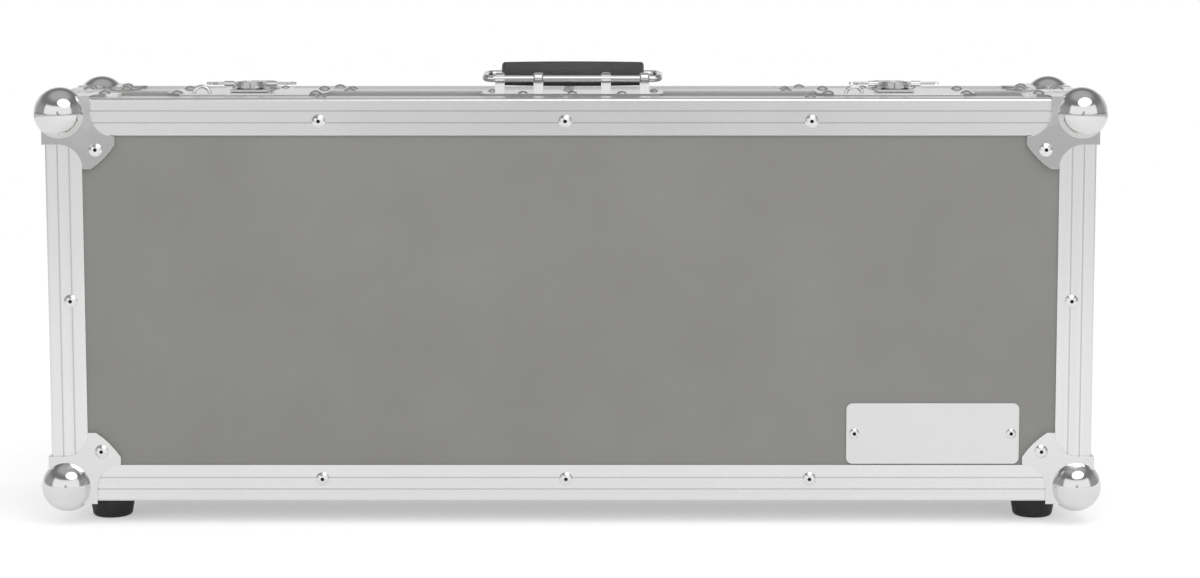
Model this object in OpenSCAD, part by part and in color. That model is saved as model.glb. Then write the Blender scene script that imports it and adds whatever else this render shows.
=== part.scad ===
// Guitar pedal flight case: two shallow panelled halves in aluminium edging, standing
// on its long narrow side, with a folding handle and two butterfly latches on top.
// X runs along the case, Y runs from the front panel to the back panel, Z is up.
// The origin lies on the floor, under the middle of the case.

/* [Case] */
// Width of the case, between the outer faces of its end edging
case_width = 850; // [760:5:1000]
// Height of the case body, without feet and handle
case_height = 330; // [280:5:420]
// Depth of the front half, from its face to the parting line
base_depth = 124; // [118:1:160]
// Depth of the lid half, from its face to the parting line
lid_depth = 61; // [60:1:90]
// Daylight between the two halves when the case is shut
parting_gap = 0.6; // [0.4:0.1:1.2]
// Thickness of the laminated plywood panels
panel_thickness = 7; // [6:0.5:9]

/* [Edging] */
// Length of each leg of the double-angle edging
edging_leg = 30; // [27:1:34]
// Wall thickness of the edging, and how far it stands proud of the panels
edging_wall = 1.5; // [1.2:0.1:2]
// Wall thickness of the inner legs and webs of the edging
inner_wall = 1.3; // [1:0.1:1.6]
// Reach of the inner legs beyond the corner tube of the edging
inner_reach = 10; // [6:1:14]
// Distance of the first decorative groove from the outer corner
first_groove = 9.6; // [7:0.1:11]
// Distance of the second decorative groove from the outer corner
second_groove = 19.1; // [16:0.1:23]
// Width of a decorative groove
groove_width = 1.1; // [0.6:0.1:1.6]
// Depth of a decorative groove
groove_depth = 0.5; // [0.3:0.1:0.8]
// Radius of the outer corner of the edging
edging_radius = 2.2; // [1:0.1:3]

/* [Rim] */
// Width of the outer leg of the rim that closes each half
rim_leg = 20; // [18:1:24]
// Depth of the solid rim block
rim_block = 6; // [5.6:0.2:8]
// How far the lid's tongue enters the groove of the front half
tongue_height = 3.5; // [2.5:0.1:4]
// Thickness of the tongue at its root
tongue_width = 2.2; // [1.6:0.1:2.6]
// Free play of the tongue in its groove, on each side and at the bottom
tongue_play = 0.8; // [0.6:0.1:1]

/* [Ball corners] */
// Diameter of the corner ball
ball_diameter = 42; // [36:0.5:46]
// Distance of the ball's centre from the top, underside or end of the case
ball_inset = 12.2; // [9:0.2:13]
// Distance of the ball's centre from the front or back face
ball_face_inset = 5; // [4:0.5:13]
// Sheet thickness of the corner's three legs
corner_sheet = 2; // [1.2:0.1:2.4]
// Radius of the round outer edge of each leg, about the case corner
corner_reach = 68; // [64:0.5:70]
// Furthest point of a leg along an edge of the case
corner_width = 57; // [54:0.5:58]
// Radius of the scallop on both flanks of a leg
scallop_radius = 19.6; // [16:0.2:21]
// Distance of the scallop's centre from the edge of the case
scallop_offset = 11; // [9:0.5:13]
// Distance of the leg's rivet from both edges of the case
corner_rivet_inset = 41.5; // [39:0.5:44]

/* [Corner braces] */
// Length of a brace's leg on the front half
brace_length = 58; // [50:1:64]
// Width of a brace, back from the parting line
brace_width = 18; // [14:1:19]
// Length of a brace's leg on the lid, where the ball corner leaves little room
lid_brace_length = 24; // [20:1:26]
// Sheet thickness of the braces
brace_sheet = 1.2; // [1:0.1:1.6]

/* [Rivets] */
// Diameter of a domed rivet head
rivet_head = 11; // [9:0.5:12]
// Height of a domed rivet head
rivet_height = 2.4; // [1.6:0.1:3]
// Diameter of a rivet's shank
rivet_shank = 4; // [3.2:0.2:4.8]
// Diameter of the mandrel hole in a rivet head
rivet_hole = 3; // [2.4:0.1:3.4]
// Length of a rivet's shank
rivet_grip = 8; // [7:0.1:8.4]
// Distance of the outer rivets of the long edging from the ends of the case
rivet_end = 226; // [210:1:260]
// Distance of the outer rivets of the long rims from the ends of the case
rim_rivet_end = 240; // [237:1:270]
// Sideways shift of the rivet rows from the middle of the case
rivet_shift = -4.5; // [-8:0.5:8]
// Distance of the edging rivets from the outer edge
edging_rivet_inset = 18.5; // [15:0.5:22]
// Distance of the rim rivets from the parting line
rim_rivet_inset = 12; // [10:0.5:14]

/* [Name plate] */
// Length of the bare plate
plate_length = 141; // [120:1:160]
// Height of the bare plate
plate_height = 50; // [40:1:60]
// Thickness of the bare plate
plate_thickness = 1.2; // [0.8:0.1:1.5]
// Corner radius of the bare plate
plate_radius = 5; // [3:0.5:8]
// Distance of the plate's right edge from the end of the case
plate_end_gap = 59.5; // [58:0.5:90]
// Height of the plate's lower edge above the underside of the case
plate_foot_gap = 31; // [31:1:60]
// Distance of a plate rivet from the plate's short edge
plate_rivet_inset = 6.5; // [5:0.5:9]
// Diameter of the small rivet heads on the plate
plate_rivet_head = 8.4; // [7:0.2:9]

/* [Feet] */
// Height of a rubber foot
foot_height = 20; // [16:1:26]
// Diameter of a foot where it meets the corner's leg
foot_diameter = 38; // [34:1:40]
// Diameter of a foot at the floor
foot_base_diameter = 33; // [28:1:34]
// Rounding of a foot's lower edge
foot_rounding = 3.5; // [2:0.5:5]
// Diameter of the screw recess in a foot
foot_recess = 13; // [12:0.5:15]
// Depth of the screw recess in a foot
foot_recess_depth = 9; // [7:0.5:11]

/* [Handle] */
// Length of the handle's bracket plate
bracket_length = 151; // [148:1:160]
// Gap between the bracket's rear edge and the rim
bracket_clearance = 0.7; // [0.4:0.1:3]
// Depth of the bracket plate from front to back
bracket_depth = 46; // [40:0.5:46]
// Thickness of the bracket plate
bracket_sheet = 2; // [1.6:0.1:2.4]
// Distance of the pivot rod behind the bracket's front edge
handle_pivot_inset = 8; // [8:0.5:10]
// Height of the pivot rod above the top of the case
handle_pivot_up = 12.5; // [12:0.5:15]
// Diameter of the rod that the ring is bent from
ring_rod = 5.8; // [5:0.2:7]
// Length of the ring between its two side arms
ring_length = 144; // [140:1:150]
// Distance from the pivot rod to the grip
ring_reach = 30; // [28:0.5:34]
// Bend radius of the ring's corners
ring_bend = 7; // [6:0.5:8]
// Length of the rubber grip
grip_length = 119; // [100:1:126]
// Diameter of the rubber grip
grip_diameter = 21; // [18:0.5:22]
// Width of a knuckle that holds the pivot rod
knuckle_width = 8; // [7:0.5:10]
// Wall of a knuckle around the pivot rod
knuckle_wall = 2.2; // [1.8:0.1:3]
// Distance of the outer knuckles from the middle of the handle
outer_knuckle = 60; // [56:0.5:60.5]
// Distance of the inner knuckles from the middle of the handle
inner_knuckle = 28; // [24:0.5:34]
// Angle at which the folded handle rests above level
handle_rest = 5; // [0:1:8]
// Running clearance between a rod or pin and its bore
running_clearance = 0.08; // [0.04:0.01:0.1]

/* [Latches] */
// Distance of a latch's hub from the end of the case
latch_end = 157; // [150:1:185]
// Gap between a latch plate and the parting line
latch_rear_gap = 3; // [2:0.5:5]
// Width of a latch plate
latch_plate_width = 130; // [120:1:136]
// Sheet thickness of a latch plate
latch_sheet = 1.5; // [1.2:0.1:1.8]
// Reach of the latch plate in front of the hub
latch_plate_front = 38; // [36:0.5:40]
// Reach of the latch plate behind the hub
latch_plate_rear = 47; // [46:0.5:48]
// Distance of a latch rivet from the hub, along the case
latch_rivet_across = 57; // [52:0.5:59]
// Diameter of the turning hub
hub_diameter = 24.5; // [22:0.5:26]
// Height of the hub's top above the latch plate
hub_height = 8.4; // [8:0.1:9]
// Diameter of the hub's spindle
spindle_diameter = 6; // [5:0.2:7]
// Span of the butterfly wing
wing_span = 75; // [68:1:76]
// Reach of the wing behind its pin
wing_reach = 17; // [16:0.5:19]
// Thickness of the wing
wing_sheet = 2; // [1.6:0.1:2.4]
// Diameter of the wing's pin
wing_pin = 2.4; // [2:0.1:2.6]
// Travel of the tongue over half a turn of the hub
tongue_travel = 6; // [5:0.5:7]
// Thickness of the sliding tongue
tongue_sheet = 1.8; // [1.4:0.1:1.9]
// Radius of the cam that drives the tongue
cam_radius = 7.5; // [7.2:0.1:8]
// Play of the cam in the tongue's slot
cam_play = 1.3; // [1.2:0.1:1.5]
// Width of the tongue's hooked strip
hook_width = 22; // [18:1:24]
// Outer radius of the padlock hoop
hoop_radius = 8.3; // [8:0.1:9]
// Wire thickness of the padlock hoop
hoop_wire = 3; // [2.6:0.1:3.4]
// Place of the hoop to the left of the hub
hoop_left = 36; // [35:0.5:40]
// Place of the hoop in front of the hub
hoop_front = 31; // [30:0.5:33]
// Width of the keeper on the lid
keeper_width = 58; // [50:1:64]

/* [Hinges] */
// Length of one hinge
hinge_length = 70; // [60:1:90]
// Distance of an outer hinge's middle from the end of the case
hinge_end = 155; // [120:1:190]
// Width of a hinge leaf from the hinge line
hinge_leaf = 26; // [24:0.5:30]
// Sheet thickness of a hinge leaf
hinge_sheet = 1.5; // [1.2:0.1:1.8]
// Diameter of the hinge knuckles
hinge_barrel = 6.4; // [6:0.1:6.8]
// Diameter of the hinge pin
hinge_pin = 3.2; // [2.6:0.1:3.6]
// Distance of the hinge line below the underside of the case
hinge_drop = 4; // [3.8:0.1:4.6]
// Gap between neighbouring hinge knuckles
knuckle_gap = 0.5; // [0.4:0.1:0.8]

/* [Lining] */
// Thickness of the foam on the walls of both halves
foam_wall = 12; // [8:1:18]
// Thickness of the foam on the floor of both halves
foam_floor = 15; // [10:1:20]
// Gap between the foam and the metal around it
foam_gap = 0.3; // [0.3:0.1:0.8]
// Distance of the foam's edge from the parting line
foam_set_back = 3; // [2:0.5:5]

/* [Hidden] */
$fn = 48;

// Places of the case body
half_width = case_width / 2;
case_depth = base_depth + lid_depth;
front_y = -case_depth / 2;
back_y = case_depth / 2;
body_bottom = foot_height;
body_top = body_bottom + case_height;
body_middle = body_bottom + case_height / 2;

// Small amounts
slack = 0.2;
far = 2 * case_width;
over = 1;

// Section of the edging, from the outer corner inwards
slot_end = edging_wall + panel_thickness + slack;
section_depth = slot_end + inner_wall;
panel_edge = section_depth + slack;
mitre_depth = edging_leg + over;
mitre_gap = 0.1;

// Rim section: the tongue runs in the middle of the rim block
tongue_line = section_depth / 2;
tongue_tip = 0.6 * tongue_width;
rim_groove_depth = tongue_height + tongue_play - parting_gap / 2;
rim_groove_width = tongue_width + 2 * tongue_play;
function rim_start(depth) = depth - parting_gap / 2 - rim_leg;

// Rivet rows
row_xs = [for (i = [-1:1]) rivet_shift + i * (half_width - rivet_end)];
rim_row_xs = [for (i = [-1:1]) rivet_shift + i * (half_width - rim_rivet_end)];
shank_clearance = 0.1;
brace_rivet_inset = 14;
brace_rivets = [brace_rivet_inset, brace_length - brace_rivet_inset + 2];
lid_brace_rivet = brace_rivet_inset - 1;

// Places of the name plate, the handle and the latches
plate_across = half_width - plate_end_gap - plate_length / 2;
plate_up = plate_foot_gap + plate_height / 2;
bracket_front = rim_start(base_depth) - bracket_clearance - bracket_depth;
handle_pivot_back = bracket_front + handle_pivot_inset;
latch_across = half_width - latch_end;
latch_back = base_depth - latch_rear_gap - latch_plate_rear;

// Handle and latch heights above the top of the case
knuckle_radius = ring_rod / 2 + running_clearance + knuckle_wall;
knuckle_spread = 1.5;
knuckle_chamfer = 1.2;
bracket_top = bracket_sheet - edging_wall;
bracket_rivet_inset = 6.5;
bracket_rivet_end = 7.5;
bracket_rivet_across = 41;
bracket_corner = 6;
latch_front_rivet = 12;
latch_rear_rivet = 7;
latch_clip = 12;
layer_gap = 0.3;
tongue_low = latch_sheet + layer_gap;
hub_low = tongue_low + tongue_sheet + layer_gap;
hub_top = latch_sheet + hub_height;
wing_drop = 0.9;
wing_low = hub_top - wing_drop - wing_sheet;
pin_up = wing_low + wing_sheet / 2;
wing_barrel = wing_pin / 2 + running_clearance + 0.9;
wing_front = 2;
wing_lobe = 7;
wing_inner = hub_diameter / 2 + layer_gap + 0.2;
spindle_well = 13;
spindle_well_depth = 4;
spindle_end = 1.8;
spindle_collar = 2;
spindle_collar_sheet = 1.5;
hub_chamfer = 0.8;
hub_dish = 0.6;
pin_end = 9;
cam_offset = tongue_travel / 2;
cam_slot = 2 * (cam_radius + cam_play);
cam_slot_length = 2 * (cam_radius + cam_offset + 0.6);
yoke_rail = 4;
bridge_back = latch_plate_rear - 5;
lip_back = 11;
lip_height = 2.1;
lip_foot = 2;
lip_tip = 1.6;
hook_end = base_depth - latch_back + parting_gap / 2 + lip_back + lip_foot + 2.5;
hook_low = brace_sheet + lip_height + 0.5;
hook_bend = 0.8;
hook_tip = 1.6;
hook_wall = 1.8;
hoop_top = 8.7;
hoop_centre_up = hoop_top - hoop_radius;
bridge_wall = 1.6;
bridge_wing = 6;
bridge_strap = 6;
bridge_edge = 1;
keeper_rivet_inset = 8;
keeper_clip = 5;
keeper_front = 1.5;

// Hinges
hinge_xs = [hinge_end - half_width, 0, half_width - hinge_end];
knuckle_count = 5;
hinge_rivet_end = 9;
hinge_rivet_back = 8;
knuckle_run = (hinge_length - (knuckle_count - 1) * knuckle_gap) / knuckle_count;
function knuckle_start(i) = -hinge_length / 2 + i * (knuckle_run + knuckle_gap);

// Feet
foot_screw = 5;
foot_screw_head = 9;
foot_screw_grip = corner_sheet + edging_wall + 6;
foot_drop = foot_height - corner_sheet;
foot_washer = 1;
foot_head_height = 2.2;
foot_head_dome = foot_screw_head / 2 + 1;

// ---------------------------------------------------------------- placing helpers

// Puts a half's own frame in place: its face at y = 0, its depth along +Y.
module in_base() {
    translate([0, front_y, 0]) children();
}

module in_lid() {
    translate([0, back_y, 0]) mirror([0, 1, 0]) children();
}

module both_sides() {
    children();
    mirror([1, 0, 0]) children();
}

// Mirrors between the top and the underside of the case body.
module top_and_bottom() {
    children();
    translate([0, 0, 2 * body_middle]) mirror([0, 0, 1]) children();
}

// Places a child, whose +Z is outwards, on the face of a half.
module on_face(x, z, raise = 0) {
    translate([x, -raise, z]) rotate([90, 0, 0]) children();
}

module on_top(x, y, raise = 0) {
    translate([x, y, body_top + raise]) children();
}

module on_end(y, z, raise = 0) {
    translate([half_width + raise, y, z]) rotate([0, 90, 0]) children();
}

// Rivet places of one half of the given depth, in that half's own frame.
module at_edging_rivets() {
    top_and_bottom() for (x = row_xs) {
        on_face(x, body_top - edging_rivet_inset) children();
        on_top(x, edging_rivet_inset) children();
    }
    both_sides() {
        translate([-half_width + edging_rivet_inset, 0, body_middle]) rotate([90, 0, 0]) children();
        on_end(edging_rivet_inset, body_middle) children();
    }
}

// The middle hinge takes the place of the middle rivet on the underside.
module at_rim_rivets(depth) {
    top_and_bottom() for (x = [rim_row_xs[0], rim_row_xs[2]]) on_top(x, depth - rim_rivet_inset) children();
    on_top(rim_row_xs[1], depth - rim_rivet_inset) children();
    both_sides() on_end(depth - rim_rivet_inset, body_middle) children();
}

module at_corner_rivets() {
    both_sides() {
        top_and_bottom() {
            on_face(half_width - corner_rivet_inset, body_top - corner_rivet_inset, corner_sheet) children();
            on_end(corner_rivet_inset, body_top - corner_rivet_inset, corner_sheet) children();
        }
        on_top(half_width - corner_rivet_inset, corner_rivet_inset, corner_sheet) children();
    }
}

// The legs on the underside carry the feet: a foot's screw takes the place of the rivet.
module at_feet() {
    both_sides() translate([half_width - corner_rivet_inset, corner_rivet_inset, body_bottom - corner_sheet])
        children();
}

module at_brace_rivets(depth, places) {
    both_sides() top_and_bottom() for (p = places) {
        on_top(half_width - p, depth - brace_width / 2, brace_sheet) children();
        on_end(depth - brace_width / 2, body_top - p, brace_sheet) children();
    }
}

module at_base_rivets() {
    at_edging_rivets() children();
    at_rim_rivets(base_depth) children();
    at_corner_rivets() children();
    at_brace_rivets(base_depth, brace_rivets) children();
}

module at_lid_rivets() {
    at_edging_rivets() children();
    at_rim_rivets(lid_depth) children();
    at_corner_rivets() children();
    at_brace_rivets(lid_depth, [lid_brace_rivet]) children();
}

module at_plate_rivets() {
    for (side = [-1, 1])
        on_face(plate_across + side * (plate_length / 2 - plate_rivet_inset), body_bottom + plate_up,
            plate_thickness - edging_wall) children();
}

module at_handle_rivets() {
    for (x = [-bracket_rivet_across, 0, bracket_rivet_across])
        on_top(x, bracket_front + bracket_rivet_inset, bracket_top) children();
    for (x = [-1, 1])
        on_top(x * (bracket_length / 2 - bracket_rivet_end),
            bracket_front + bracket_depth - bracket_rivet_inset, bracket_top) children();
}

module at_latch(side) {
    on_top(side * latch_across, latch_back) children();
}

module at_latch_rivets() {
    for (side = [-1, 1]) at_latch(side)
        for (x = [-1, 1], y = [latch_front_rivet - latch_plate_front, latch_plate_rear - latch_rear_rivet])
            translate([x * latch_rivet_across, y, latch_sheet]) children();
}

// The keeper's rivets, in the lid's own frame.
module at_keeper_rivets() {
    for (side = [-1, 1], x = [-1, 1])
        on_top(side * latch_across + x * (keeper_width / 2 - keeper_rivet_inset), lid_depth - rim_rivet_inset,
            brace_sheet) children();
}

// Hinge rivets of a half of the given depth.
module at_hinge_rivets(depth) {
    translate([0, 0, 2 * body_middle]) mirror([0, 0, 1])
        for (x = hinge_xs, k = [-1:1])
            on_top(x + k * (hinge_length / 2 - hinge_rivet_end), depth - hinge_leaf + hinge_rivet_back,
                hinge_sheet) children();
}

// ---------------------------------------------------------------- shared shapes

// A rectangle with round corners, centred.
module round_rectangle(width, height, radius) {
    square([width - 2 * radius, height], center = true);
    square([width, height - 2 * radius], center = true);
    for (x = [-1, 1], y = [-1, 1])
        translate([x * (width / 2 - radius), y * (height / 2 - radius)]) circle(r = radius);
}

// Domed blind rivet: the head stands on z = 0 and the shank reaches down.
module rivet(head = rivet_head) {
    height = rivet_height * head / rivet_head;
    dome = (head * head / 4 + height * height) / (2 * height);
    rotate_extrude() {
        difference() {
            intersection() {
                translate([0, height - dome]) circle(r = dome);
                square([head / 2, height]);
            }
            translate([0, height / 3]) square([rivet_hole / 2, height]);
        }
        translate([0, -rivet_grip]) square([rivet_shank / 2, rivet_grip + height / 3]);
    }
}

module rivet_bore() {
    translate([0, 0, -rivet_grip - slack])
        cylinder(r = rivet_shank / 2 + shank_clearance, h = rivet_grip + slack + over);
}

// Outside of one half: a box with its panels set back between the edging legs.
module half_skin(depth) {
    field_width = case_width - 2 * edging_leg;
    field_height = case_height - 2 * edging_leg;
    field_depth = rim_start(depth) - edging_leg;
    difference() {
        translate([-half_width, 0, body_bottom]) cube([case_width, depth, case_height]);
        translate([-field_width / 2, -over, body_bottom + edging_leg])
            cube([field_width, edging_wall + over, field_height]);
        top_and_bottom() translate([-field_width / 2, edging_leg, body_top - edging_wall])
            cube([field_width, field_depth, edging_wall + over]);
        both_sides() translate([half_width - edging_wall, edging_leg, body_bottom + edging_leg])
            cube([edging_wall + over, field_depth, field_height]);
    }
}

// ---------------------------------------------------------------- edging and rim

// Section of the double angle. The outer corner is the origin; the legs run along +X and +Y.
module edging_section() {
    difference() {
        union() {
            square([edging_leg, edging_wall]);
            square([edging_wall, edging_leg]);
            square(section_depth);
            translate([slot_end, slot_end]) square([inner_wall + inner_reach, inner_wall]);
            translate([slot_end, slot_end]) square([inner_wall, inner_wall + inner_reach]);
        }
        translate([edging_wall, edging_wall]) square(slot_end - edging_wall);
        for (g = [first_groove, second_groove]) {
            translate([g, -over]) square([groove_width, groove_depth + over]);
            translate([-over, g]) square([groove_depth + over, groove_width]);
        }
        difference() {
            translate([-over, -over]) square(edging_radius + over);
            translate([edging_radius, edging_radius]) circle(r = edging_radius);
        }
    }
}

// Cuts a length that runs along the top of a half to 45 degree mitres at both ends.
module mitred_across(run, height, depth) {
    intersection() {
        children();
        translate([0, depth + over, 0]) rotate([90, 0, 0]) linear_extrude(depth + 3 * over + tongue_height)
            polygon([
                [-run / 2 + mitre_gap, height],
                [run / 2 - mitre_gap, height],
                [run / 2 - mitre_gap - depth, height - depth],
                [-run / 2 + mitre_gap + depth, height - depth]
            ]);
    }
}

// One length of section laid along the top edge, with its mitres cut.
module top_length(run, height) {
    mitred_across(run, height, mitre_depth)
        translate([-run / 2, 0, height]) rotate([0, 90, 0]) linear_extrude(run) children();
}

// Four mitred lengths around a rectangle of the case's width and height.
module ring_of_lengths() {
    top_and_bottom() top_length(case_width, body_top) children();
    both_sides() translate([0, 0, body_middle]) rotate([0, 90, 0])
        top_length(case_height, half_width) children();
}

module face_edging_lengths() {
    difference() {
        ring_of_lengths() edging_section();
        at_edging_rivets() rivet_bore();
    }
}

module corner_edging_lengths(depth) {
    run = rim_start(depth) - edging_leg;
    both_sides() top_and_bottom()
        translate([half_width, edging_leg + run, body_top]) rotate([90, 0, 0]) mirror([1, 0, 0])
            mirror([0, 1, 0]) linear_extrude(run) edging_section();
}

// Section of the rim: the first value runs in from the outer face, the second from the rim face.
module rim_section() {
    square([section_depth, rim_block]);
    square([edging_wall, rim_leg]);
    translate([slot_end, 0]) square([inner_wall, rim_block + inner_reach]);
}

module base_rim_section() {
    difference() {
        rim_section();
        translate([tongue_line - rim_groove_width / 2, -over])
            square([rim_groove_width, rim_groove_depth + over]);
    }
}

module lid_rim_section() {
    rim_section();
    polygon([
        [tongue_line - tongue_width / 2, over / 2],
        [tongue_line + tongue_width / 2, over / 2],
        [tongue_line + tongue_tip / 2, -tongue_height],
        [tongue_line - tongue_tip / 2, -tongue_height]
    ]);
}

// Lays a rim section around the open side of a half, its face just short of the parting line.
module rim_lengths(depth) {
    translate([0, depth - parting_gap / 2, 0]) mirror([0, 1, 0]) ring_of_lengths() children();
}

// ---------------------------------------------------------------- panels and lining

module face_panel() {
    width = case_width - 2 * panel_edge;
    height = case_height - 2 * panel_edge;
    translate([-width / 2, edging_wall, body_bottom + panel_edge]) cube([width, panel_thickness, height]);
}

module top_panel(depth) {
    width = case_width - 2 * panel_edge;
    translate([-width / 2, panel_edge, body_top - edging_wall - panel_thickness])
        cube([width, depth - panel_edge - rim_block - slack - parting_gap / 2, panel_thickness]);
}

module bottom_panel(depth) {
    translate([0, 0, 2 * body_middle]) mirror([0, 0, 1]) top_panel(depth);
}

module right_panel(depth) {
    height = case_height - 2 * panel_edge;
    translate([half_width - edging_wall - panel_thickness, panel_edge, body_bottom + panel_edge])
        cube([panel_thickness, depth - panel_edge - rim_block - slack - parting_gap / 2, height]);
}

module left_panel(depth) {
    mirror([1, 0, 0]) right_panel(depth);
}

// Foam tray: floor against the face panel, walls up to just short of the parting line.
module lining(depth) {
    inset = section_depth + foam_gap;
    width = case_width - 2 * inset;
    height = case_height - 2 * inset;
    run = depth - inset - foam_set_back;
    difference() {
        translate([-width / 2, inset, body_bottom + inset]) cube([width, run, height]);
        translate([-width / 2 + foam_wall, inset + foam_floor, body_bottom + inset + foam_wall])
            cube([width - 2 * foam_wall, run, height - 2 * foam_wall]);
    }
}

// ---------------------------------------------------------------- corner hardware

// One leg of a ball corner on the face X-Y, with the case corner at the origin.
module corner_leg_outline() {
    tab = corner_width - scallop_radius;
    difference() {
        intersection() {
            circle(r = corner_reach, $fn = 96);
            square(corner_width);
        }
        translate([corner_width, scallop_offset]) circle(r = scallop_radius);
        translate([scallop_offset, corner_width]) circle(r = scallop_radius);
        translate([tab, -over]) square([corner_width, scallop_offset + over]);
        translate([-over, tab]) square([scallop_offset + over, corner_width]);
    }
}

// A ball with three legs for the corner at x = y = z = 0 of a case that fills the positive side.
module ball_corner_blank() {
    leg_height = corner_sheet + edging_wall;
    translate([ball_inset, ball_face_inset, ball_inset]) sphere(d = ball_diameter);
    translate([0, 0, -corner_sheet]) linear_extrude(leg_height) corner_leg_outline();
    translate([0, -corner_sheet, 0]) mirror([0, 1, 0]) rotate([90, 0, 0])
        linear_extrude(leg_height) corner_leg_outline();
    translate([-corner_sheet, 0, 0]) rotate([90, 0, 90])
        linear_extrude(leg_height) corner_leg_outline();
    wrap = corner_width - scallop_radius + corner_sheet;
    thin = 2 * corner_sheet;
    for (bar = [[wrap, thin, thin], [thin, wrap, thin], [thin, thin, wrap]])
        translate([-corner_sheet, -corner_sheet, -corner_sheet]) cube(bar);
}

module ball_corners(depth) {
    difference() {
        both_sides() top_and_bottom() translate([-half_width, 0, body_bottom]) ball_corner_blank();
        half_skin(depth);
        at_corner_rivets() rivet_bore();
        at_feet() screw_bore();
    }
}

// An angled brace over the mitred rim joint: two legs with sloping ends.
module corner_braces(depth, length) {
    slope = length / 5;
    difference() {
        both_sides() top_and_bottom() {
            translate([half_width + brace_sheet, depth - parting_gap / 2, body_top]) mirror([0, 1, 0])
                mirror([1, 0, 0]) linear_extrude(brace_sheet)
                    polygon([[0, 0], [length, 0], [length - slope, brace_width], [0, brace_width]]);
            translate([half_width, depth - parting_gap / 2, body_top + brace_sheet]) mirror([0, 1, 0])
                rotate([0, 90, 0]) linear_extrude(brace_sheet)
                    polygon([[0, 0], [length, 0], [length - slope, brace_width], [0, brace_width]]);
        }
        children();
    }
}

// ---------------------------------------------------------------- base nodes

module base_face_panel() color("dimgray") in_base() difference() {
    face_panel();
    at_edging_rivets() rivet_bore();
    at_corner_rivets() rivet_bore();
    at_plate_rivets() rivet_bore();
}

module spindle_wells() {
    for (side = [-1, 1]) at_latch(side) translate([0, 0, -edging_wall - spindle_well_depth])
        cylinder(d = spindle_well, h = spindle_well_depth + over);
}

module base_top_panel() color("dimgray") in_base() difference() {
    top_panel(base_depth);
    at_base_rivets() rivet_bore();
    at_latch_rivets() rivet_bore();
    at_handle_rivets() rivet_bore();
    spindle_wells();
}

module base_bottom_panel() color("dimgray") in_base() difference() {
    bottom_panel(base_depth);
    at_base_rivets() rivet_bore();
    at_hinge_rivets(base_depth) rivet_bore();
    at_feet() screw_bore();
}

module base_left_panel() color("dimgray") in_base() difference() {
    left_panel(base_depth);
    at_base_rivets() rivet_bore();
}

module base_right_panel() color("dimgray") in_base() difference() {
    right_panel(base_depth);
    at_base_rivets() rivet_bore();
}

module base_face_edging() color("silver") in_base() face_edging_lengths();

module base_corner_edging() color("silver") in_base() corner_edging_lengths(base_depth);

module base_rim() color("silver") in_base() difference() {
    rim_lengths(base_depth) base_rim_section();
    at_rim_rivets(base_depth) rivet_bore();
    at_brace_rivets(base_depth, brace_rivets) rivet_bore();
    at_latch_rivets() rivet_bore();
    at_hinge_rivets(base_depth) rivet_bore();
}

module base_lining() color([0.13, 0.13, 0.14]) in_base() lining(base_depth);

module front_ball_corners() color("gainsboro") in_base() ball_corners(base_depth);

module base_corner_braces() color("gainsboro") in_base() corner_braces(base_depth, brace_length)
    at_brace_rivets(base_depth, brace_rivets) rivet_bore();

module base_rivets() color("lightgray") in_base() {
    at_base_rivets() rivet();
    at_hinge_rivets(base_depth) rivet();
}

module name_plate() color("whitesmoke") in_base() difference() {
    on_face(plate_across, body_bottom + plate_up, -edging_wall) linear_extrude(plate_thickness)
        round_rectangle(plate_length, plate_height, plate_radius);
    at_plate_rivets() rivet_bore();
}

module name_plate_rivets() color("lightgray") in_base() at_plate_rivets() rivet(plate_rivet_head);

// ---------------------------------------------------------------- feet

// Bore for a foot's screw, from just below the corner's leg up into the case.
module screw_bore() {
    translate([0, 0, -over]) cylinder(r = foot_screw / 2 + shank_clearance, h = foot_screw_grip + over);
}

// A rubber foot that hangs from z = 0, with a rounded lower edge and a deep recess for its screw.
module foot_body() {
    rotate_extrude() difference() {
        union() {
            polygon([
                [0, 0],
                [foot_diameter / 2, 0],
                [foot_base_diameter / 2, -foot_drop + foot_rounding],
                [foot_base_diameter / 2 - foot_rounding, -foot_drop],
                [0, -foot_drop]
            ]);
            translate([foot_base_diameter / 2 - foot_rounding, -foot_drop + foot_rounding])
                circle(r = foot_rounding);
        }
        translate([0, -foot_drop - over]) square([foot_recess / 2, foot_recess_depth + over]);
        translate([0, -foot_drop]) square([foot_screw / 2 + shank_clearance, foot_drop + over]);
    }
}

// Pan-head screws, each with a washer, that hold the feet through the corners' legs.
module foot_screws() {
    seat = foot_drop - foot_recess_depth;
    at_feet() translate([0, 0, -seat]) rotate_extrude() {
        translate([0, -foot_washer]) square([foot_recess / 2 - 3 * slack, foot_washer]);
        intersection() {
            translate([0, foot_head_dome - foot_washer - foot_head_height]) circle(r = foot_head_dome);
            translate([0, -foot_washer - foot_head_height])
                square([foot_screw_head / 2, foot_head_height + foot_washer / 2]);
        }
        square([foot_screw / 2, seat + foot_screw_grip - slack]);
    }
}

module base_feet() color([0.09, 0.09, 0.1]) in_base() at_feet() foot_body();
module base_foot_screws() color("silver") in_base() foot_screws();
module lid_feet() color([0.09, 0.09, 0.1]) in_lid() at_feet() foot_body();
module lid_foot_screws() color("silver") in_lid() foot_screws();

// ---------------------------------------------------------------- handle

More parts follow.
